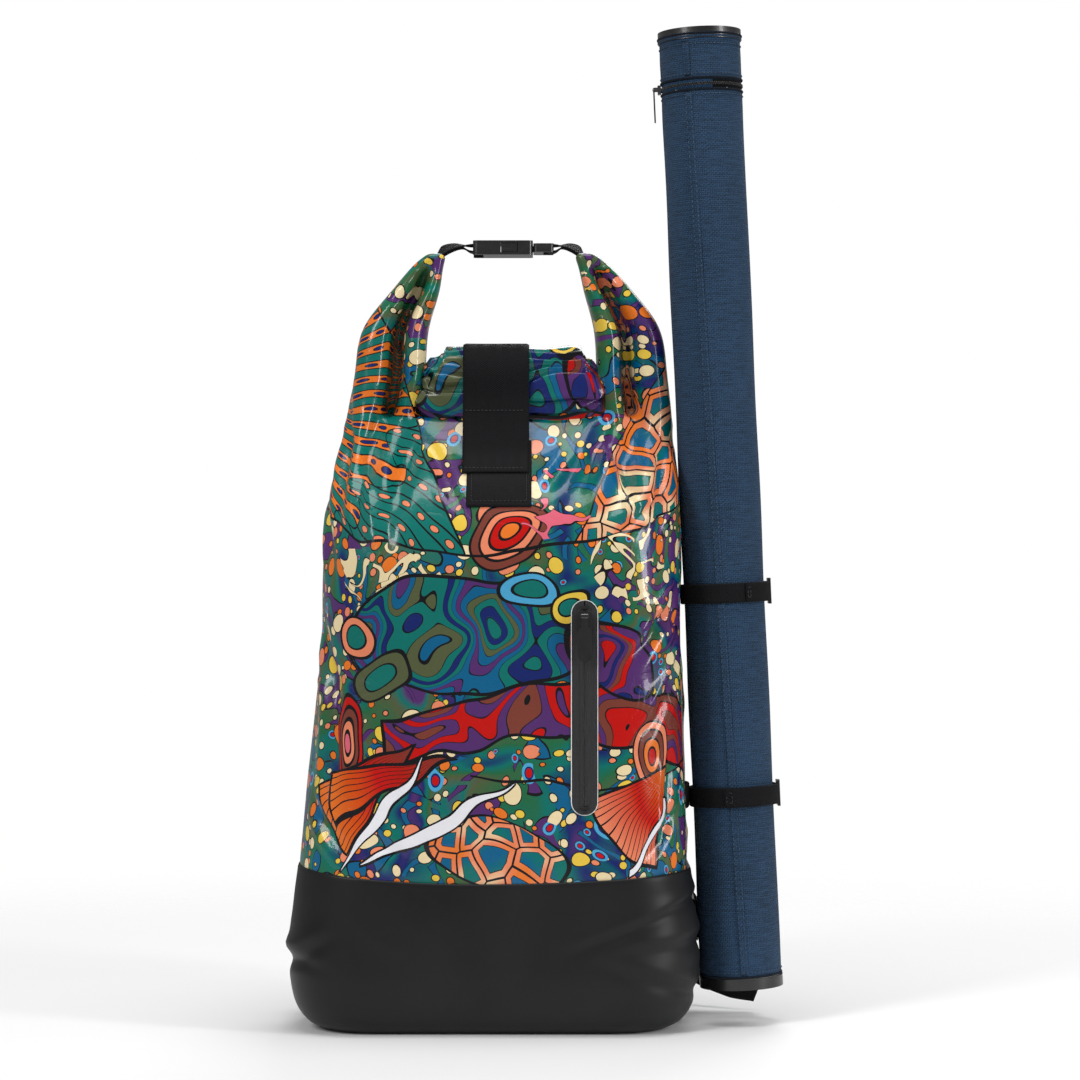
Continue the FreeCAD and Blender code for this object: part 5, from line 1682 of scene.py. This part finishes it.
# %% Tube straps
def round_tube(height, radius, first, last, steps=36):
    """Stations round the tube between two directions in degrees."""
    stations = []
    for n in range(steps + 1):
        turn = math.radians(lerp(first, last, n / steps))
        middle = tube_spot(radius, turn, height)
        out = (middle - tube_spot(0, 0, height)).normalized()
        stations.append((middle, tube_axis, out))
    return stations


for place_name in ("upper", "lower"):
    loop_low, loop_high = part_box(f"tube_strap_{place_name}")
    height = ((loop_low.z + loop_high.z) / 2 - tube_foot.z) / tube_axis.z
    inner = (loop_high.y - loop_low.y) / 2 - 0.0007
    wide = 0.016
    strap(f"tube_strap_{place_name}", round_tube(height, inner, -180, 180, 72), wide, 0.0014,
          nodes=(f"tube_strap_{place_name}",), step=0.002)
    end = {"upper": -64, "lower": -104}[place_name]
    layer_line = round_tube(height, inner + 0.0018, -9, end, 28)
    glide = f"tri_glide_{place_name}"
    strap(f"strap_end_{place_name}", layer_line, wide, 0.0013, glide, step=0.002)
    tuck_at, _ = smooth_stations(layer_line)
    stitches(f"strap_end_stitches_{place_name}", box_stitch(tuck_at, 0.90, 0.97, wide, 0.0008)[:4], glide)
    tab_low, tab_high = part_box(f"tube_anchor_{place_name}")
    tab_mid = (tab_low + tab_high) / 2
    reach = tab_high.x + 0.0006
    tab_line = [((tab_low.x - 0.006, -0.030, tab_mid.z), (0, 0, 1), (0.5, -1, 0)),
                ((tab_low.x - 0.001, -0.020, tab_mid.z), (0, 0, 1), (0.9, -0.6, 0)),
                ((reach - 0.0008, -0.004, tab_mid.z), (0, 0, 1), (1, -0.1, 0)),
                ((reach - 0.0004, 0.012, tab_mid.z), (0, 0, 1), (1, 0.1, 0)),
                ((tab_low.x - 0.001, 0.028, tab_mid.z), (0, 0, 1), (0.9, 0.6, 0))]
    strap(f"tube_anchor_{place_name}", tab_line, 0.020, 0.0014, nodes=(f"tube_anchor_{place_name}",),
          step=0.002)

# %% [markdown]
# ## The back
# The side that rests on the wearer's back is a stiffened panel under spacer mesh, with two long pads and a
# lumbar pad. A pad is crowned foam: full in the middle, thin at its bound edge, with sewn channels pressed
# across it.


# %% Crowned pads
def pad_spot(a, b, half, round_corners):
    """A place on a pad with rounded corners, as (x, z). Both shares run from -1 to 1."""
    return (a * math.sqrt(1 - round_corners * b ** 4 / 2) * half.x,
            b * math.sqrt(1 - round_corners * a ** 4 / 2 * min(half.x / half.z, 1)) * half.z)


def pad_bmesh(low, high, channels, round_corners=0.42, fullness=0.5, back_drop=0.0006):
    """A crowned pad that lies on y = low.y and stands out to high.y. Channels are shares of its height."""
    middle, half = (low + high) / 2, (high - low) / 2
    thick = high.y - low.y

    def lie(u, v):
        return pad_spot(2 * u - 1, 2 * v - 1, half, round_corners)

    def place(u, v):
        x, z = lie(u, v)
        a, b = abs(2 * u - 1), abs(2 * v - 1)
        rim_x, rim_z = (1 - a) * half.x, (1 - b) * half.z
        edge = ease(min(rim_x / 0.014, 1)) ** fullness * ease(min(rim_z / 0.014, 1)) ** fullness
        crown = 0.55 + 0.45 * math.cos(a * 1.25) * math.cos(b * 1.1)
        groove = sum(math.exp(-((v - c) * 2 * half.z / 0.0034) ** 2) for c in channels)
        lift = thick * (0.14 + 0.84 * edge * crown * (1 - 0.62 * min(groove, 1)))
        soft = 0.0006 * noise.noise(Vector((x * 45, z * 45, 3.1))) * edge
        return Vector((middle.x + x, low.y + lift + soft, middle.z + z))

    across, up = max(int(half.x * 2 / 0.0026), 24), max(int(half.z * 2 / 0.0026), 24)
    bm = wrapped_sheet(across, up, place, lie)
    rim_edges = [edge for edge in bm.edges if edge.is_boundary]
    made = bmesh.ops.extrude_edge_only(bm, edges=rim_edges)
    for item in made["geom"]:
        if isinstance(item, bmesh.types.BMVert):
            item.co.y = low.y + back_drop
    return close_holes(bm)


def pad_outline(low, high, inset, y, round_corners=0.42):
    """Points just inside a pad's edge, for its binding and stitches."""
    middle, half = (low + high) / 2, (high - low) / 2
    points = []
    for side in range(4):
        for n in range(24):
            t = 2 * n / 24 - 1
            a, b = ((t, -1), (1, t), (-t, 1), (-1, -t))[side]
            x, z = pad_spot(a, b, half, round_corners)
            points.append(Vector((middle.x + x * (1 - inset / half.x), y,
                                  middle.z + z * (1 - inset / half.z))))
    return points + points[:1]


def cord_round(points, radius, around=8):
    """A binding cord along a closed list of points."""
    def place(u, v):
        count = len(points) - 1
        spot = u * count
        n = min(int(spot), count - 1)
        middle = points[n].lerp(points[n + 1], spot - n)
        before, after = points[(n - 1) % count], points[(n + 2) % count if n + 2 > count else n + 2]
        along = (after - before).normalized()
        side = along.cross(Vector((0, 1, 0))).normalized()
        turn = v * math.tau
        return middle + side * radius * math.cos(turn) + Vector((0, 1, 0)) * radius * math.sin(turn)

    def lie(u, v):
        return v * radius * 6, u * 0.6
    return close_holes(wrapped_sheet((len(points) - 1) * 2, around, place, lie))


# %% Back panel and pads
panel_low, panel_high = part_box("back_panel")
PANEL_CORNERS = 0.16
make("back_panel_cloth", pad_bmesh(panel_low, panel_high, (), PANEL_CORNERS, 0.35, -0.0005), strap_cloth,
     nodes=("back_panel",))
panel_edge = pad_outline(panel_low, panel_high, 0.0015, panel_high.y - 0.0012, PANEL_CORNERS)
make("back_panel_binding", cord_round(panel_edge, 0.0020), strap_cloth)
for label, channels in (("back_pad_left", (0.2, 0.4, 0.6, 0.8)), ("back_pad_right", (0.2, 0.4, 0.6, 0.8)),
                        ("lumbar_pad", (0.5,))):
    low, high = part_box(label)
    foam = make(label + "_foam", pad_bmesh(low, high, channels), back_mesh, nodes=(label,))
    bound_edge = pad_outline(low, high, 0.0008, low.y + 0.0016)
    make(label + "_binding", cord_round(bound_edge, 0.0013), strap_cloth)
    stitches(label + "_stitches", [pad_outline(low, high, 0.0050, low.y + 0.0062)], slot="back_mesh")

# %% [markdown]
# ## Shoulder straps
# A padded strap leaves the yoke, bows out to fit a shoulder and narrows to its adjuster. It is a crowned
# section carried along a curve, bound along both edges, with a strip of webbing sewn up its middle.

# %% Shoulder strap line
SIDES = ((-1, "left"), (1, "right"))
strap_boxes = {side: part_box(f"shoulder_strap_{name}") for side, name in SIDES}
lock_boxes = {side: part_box(f"ladder_lock_{name}") for side, name in SIDES}


def shoulder_stations(side):
    """Share of the height, middle, width and thickness, from the foot up to the yoke."""
    low, high = strap_boxes[side]
    lock_low, lock_high = lock_boxes[side]
    top_x = side * 0.052
    foot_x = (lock_low.x + lock_high.x) / 2
    tall = high.z - low.z
    far = high.y - 0.0065
    rows = [(0.0, foot_x, far - 0.018, 0.034, 0.0095),
            (0.25, lerp(top_x, foot_x, 0.75), far - 0.004, 0.056, 0.0128),
            (0.5, lerp(top_x, foot_x, 0.3), far, 0.062, 0.0130), (0.825, top_x, far - 0.012, 0.061, 0.0128),
            (1.0, top_x, far - 0.026, 0.053, 0.0095)]
    return [(share, x, y, low.z + share * tall, wide, thick) for share, x, y, wide, thick in rows]


def shoulder_frame(stations, share):
    x, y, z, wide, thick = through(stations, share)
    ahead, behind = through(stations, min(share + 0.02, 1)), through(stations, max(share - 0.02, 0))
    along = Vector(ahead[:3]) - Vector(behind[:3])
    along.normalize()
    out = Vector((0, 1, 0)) - along * along.y
    out.normalize()
    across = out.cross(along).normalized()
    return Vector((x, y, z)), across, out, wide, thick


def shoulder_bmesh(side):
    stations = shoulder_stations(side)

    def place(u, v):
        middle, across, out, wide, thick = shoulder_frame(stations, v)
        end = ease(min(v, 1 - v) / 0.03) ** 0.5
        turn = (u - 0.5) * math.tau
        a = math.copysign(abs(math.sin(turn)) ** 0.72, math.sin(turn)) * wide / 2
        b = math.copysign(abs(math.cos(turn)) ** 0.80, math.cos(turn)) * thick / 2 * (0.55 + 0.45 * end)
        quilt = 0.0007 * math.exp(-((abs(a) - wide * 0.34) / 0.0022) ** 2) if b > 0 else 0
        return middle + across * a + out * (b - quilt)

    def lie(u, v):
        return (u - 0.5) * 0.13, v * 0.215
    return close_holes(wrapped_sheet(64, 96, place, lie))


for side, name in SIDES:
    stations = shoulder_stations(side)
    foam = make(f"shoulder_strap_{name}_foam", shoulder_bmesh(side), back_mesh,
                nodes=(f"shoulder_strap_{name}",))
    frames = [shoulder_frame(stations, lerp(0.01, 0.99, n / 60)) for n in range(61)]
    middle_line = [(m + out * (thick / 2 + 0.0004), across, out) for m, across, out, wide, thick in frames]
    strap(f"shoulder_webbing_{name}", middle_line[::5], 0.024, 0.0013)
    sewn = [[m + out * (thick / 2 + 0.0011) + across * a for m, across, out, wide, thick in frames]
            for a in (-0.0098, 0.0098)]
    stitches(f"shoulder_stitches_{name}", sewn)
    for edge, sign in (("inner", -side), ("outer", side)):
        line = [(m + across * sign * (wide / 2 - 0.0004), out, across * sign)
                for m, across, out, wide, thick in frames]
        strap(f"shoulder_binding_{edge}_{name}", line[::4], 0.0078, 0.0022, material=strap_cloth, around=16)


# %% [markdown]
# ## Yokes, grab loop and adjusters
# The shoulder straps hang from folded tabs at the top of the panel. Webbing runs from each strap through a
# ladder lock down to a wing low on the bag's side, and the spare end hangs free.

# %% Yokes and grab loop
for side, name in SIDES:
    low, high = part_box(f"yoke_{name}")
    x, near, far, foot = (low.x + high.x) / 2, low.y + 0.0015, high.y - 0.0015, strap_boxes[side][1].z
    line = [(near, low.z), (near, foot - 0.004), (near + 0.001, foot + 0.010), (near + 0.007, high.z - 0.004),
            (lerp(near, far, 0.5), high.z - 0.0022), (far - 0.006, high.z - 0.004),
            (far - 0.0008, foot + 0.008),
            (far, foot + 0.0005)]
    stations = side_stations(line, x)
    strap(f"yoke_{name}_cloth", stations, high.x - low.x, 0.0026, nodes=(f"yoke_{name}",),
          material=strap_cloth, around=40)
    yoke_at, _ = smooth_stations(stations)
    stitches(f"yoke_{name}_stitches", cross_lines(yoke_at, (0.05, 0.12, 0.90, 0.96), 0.046, 0.0015, 12))
haul_low, haul_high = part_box("haul_loop")
near, far, tall = haul_low.y + 0.0008, haul_high.y - 0.0008, haul_high.z - haul_low.z
haul_line = [(near, haul_low.z), (near, haul_low.z + 0.13 * tall),
             (lerp(near, far, 0.35), haul_low.z + 0.22 * tall),
             (lerp(near, far, 0.85), haul_low.z + 0.36 * tall), (far, haul_low.z + 0.5 * tall),
             (lerp(near, far, 0.85), haul_low.z + 0.64 * tall),
             (lerp(near, far, 0.35), haul_low.z + 0.78 * tall),
             (near, haul_low.z + 0.87 * tall), (near, haul_high.z)]
haul_wide, haul_stations = haul_high.x - haul_low.x, side_stations(haul_line, 0.0)
strap("grab_loop", haul_stations, haul_wide, 0.0015, nodes=("haul_loop",))
haul_at, _ = smooth_stations(haul_stations)
stitches("grab_loop_stitches", [line for pair in ((0.01, 0.09), (0.91, 0.99))
                                for line in box_stitch(haul_at, *pair, haul_wide, 0.0009)])

# %% Wings
def wing_bmesh(side):
    """A tab of doubled tarpaulin on the boot's side, cut like a blunt wing."""
    low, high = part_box("anchor_wing_right" if side > 0 else "anchor_wing_left")
    outer = max(abs(low.x), abs(high.x))

    def place(u, v):
        y = lerp(low.y - 0.010, high.y + 0.002, v)
        half = lerp(0.016, (high.z - low.z) / 2, ease(v * 1.4))
        a, b = flat_section(u, half * 2, 0.0026)
        z = (low.z + high.z) / 2 + a
        slope = (z - low.z) / (high.z - low.z)
        x = outer - 0.0012 - 0.0052 * slope + 0.0006 * math.sin(v * 3)
        return Vector((side * (x - b), y, z))

    def lie(u, v):
        return v * 0.05, u * 0.1
    return close_holes(wrapped_sheet(40, 24, place, lie))


for side, name in SIDES:
    make(f"wing_{name}", wing_bmesh(side), black_tarpaulin, nodes=(f"anchor_wing_{name}",))

# %% Adjuster webbing
web_wide, web_thick = 0.025, 0.0015


def adjuster_lines(side):
    """Stations from the wing to the ladder lock, and from the lock down to the free end."""
    low, high = lock_boxes[side]
    lock_x, lock_y, lock_z = ((low + high) / 2)
    lock_x = abs(lock_x)
    face = (high.y - low.y) / 2 + web_thick
    wing_low, wing_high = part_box("anchor_wing_right" if side > 0 else "anchor_wing_left")
    wing_x = max(abs(wing_low.x), abs(wing_high.x))
    start_z = (wing_low.z + wing_high.z) / 2
    back = shell_high.y
    lead = [((side * (wing_x - 0.0012), wing_high.y - 0.014, start_z), (0, 0, 1), (side, 0, 0)),
            ((side * (wing_x - 0.0010), wing_high.y + 0.008, start_z + 0.002), (0, -0.1, 1), (side, 0.2, 0)),
            ((side * (wing_x - 0.0152), back - 0.001, start_z + 0.014), (side * 0.3, -0.35, 1),
             (side, 0.9, 0.1)),
            ((side * (lock_x + 0.034), back + 0.024, start_z + 0.042), (side * 0.8, -0.3, 0.8),
             (side * 0.7, 1, -0.2)),
            ((side * (lock_x + 0.006), lock_y - 0.005, lock_z - 0.022), (side, 0, 0.2),
             (side * 0.1, 1, -0.3)),
            ((side * lock_x, lock_y - face, lock_z - 0.006), (side, 0, 0), (0, 1, 0))]
    drops = {1: [(0.014, -0.006, -0.052), (0.046, -0.016, -0.092), (0.080, -0.036, -0.136),
                 (0.112, -0.056, -0.150),
                 (0.134, -0.064, -0.153)],
             -1: [(0.006, -0.002, -0.044), (0.020, -0.008, -0.084), (0.044, -0.018, -0.118),
                  (0.070, -0.030, -0.134)]}
    tail = [((side * lock_x, lock_y + face, lock_z - 0.004), (side, 0, 0), (0, 1, 0)),
            ((side * (lock_x + 0.003), lock_y + face, lock_z - 0.022), (side, 0, -0.1), (0, 1, 0.1))]
    for (dx, dy, dz), turn in zip(drops[side], (0.35, 0.7, 1.3, 2.2, 2.6)):
        tail.append(((side * (lock_x + dx), lock_y + face + dy, lock_z + dz), (side, -0.1, turn),
                     (side * 0.4, 1, 0.1)))
    return lead, tail


for side, name in SIDES:
    lead, tail = adjuster_lines(side)
    strap(f"adjuster_{name}", lead, web_wide, web_thick, nodes=(f"adjuster_webbing_{name}",), wave=0.0002)
    strap(f"adjuster_tail_{name}", tail, web_wide, web_thick, nodes=(f"webbing_tail_{name}",), wave=0.0002)
    tail_at, _ = smooth_stations(tail)
    stitches(f"tail_hem_{name}", cross_lines(tail_at, (0.93, 0.955), 0.020, 0.0009, 8))
    low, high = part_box(f"lock_web_{name}")
    x, thick = (low.x + high.x) / 2, 0.0012
    near, far = low.y + thick / 2 - 0.0006, high.y - thick / 2 + 0.0006
    bend = (far - near) / 2
    line = [(near, high.z + 0.003), (near, low.z + bend + 0.002)]
    line += [((near + far) / 2 - bend * math.cos(t), low.z + thick / 2 + bend - bend * math.sin(t))
             for t in (0.5, 1.2, 1.94, 2.64)]
    line += [(far, low.z + bend + 0.002), (far, high.z + 0.003)]
    strap(f"lock_web_{name}_loop", side_stations(line, x), high.x - low.x, thick, nodes=(f"lock_web_{name}",),
          step=0.001)

# %% [markdown]
# ## Hard parts
# The buckle, glides, locks, caps, sliders and pulls keep the meshes they came with, because their shapes are
# right. They get finishes with grain, smudges and light scratches.

# %% Finishes for the hard parts
HARD_FINISHES = (
    (buckle_plastic, ("buckle_female", "buckle_male", "prong_front", "prong_rear", "tri_glide_upper",
                      "tri_glide_lower", "ladder_lock_left", "ladder_lock_right")),
    (cap_plastic, ("tube_bottom_cap", "lid_cap")), (tube_liner, ("tube_core", "lid_core")),
    (gloss_black_metal, ("front_zip_stops", "front_zip_slider", "front_zip_pull")),
    (gunmetal, ("tube_zip_slider", "tube_zip_pull")),
    (stiffener_plastic, ("roll_stiffener",)), (lining_cloth, ("front_pocket_pouch",)),
)
refinished = []
for finish, names in HARD_FINISHES:
    for name in names:
        materials = frame["nodes"][name].data.materials
        materials.clear()
        materials.append(finish)
    refinished += names
hidden = [name for name, node in frame["nodes"].items() if node.hide_render]
print(len(hidden), "plain solids are replaced,", len(refinished), "hard parts are refinished")
print("left over:", [name for name in frame["nodes"] if name not in hidden and name not in refinished])
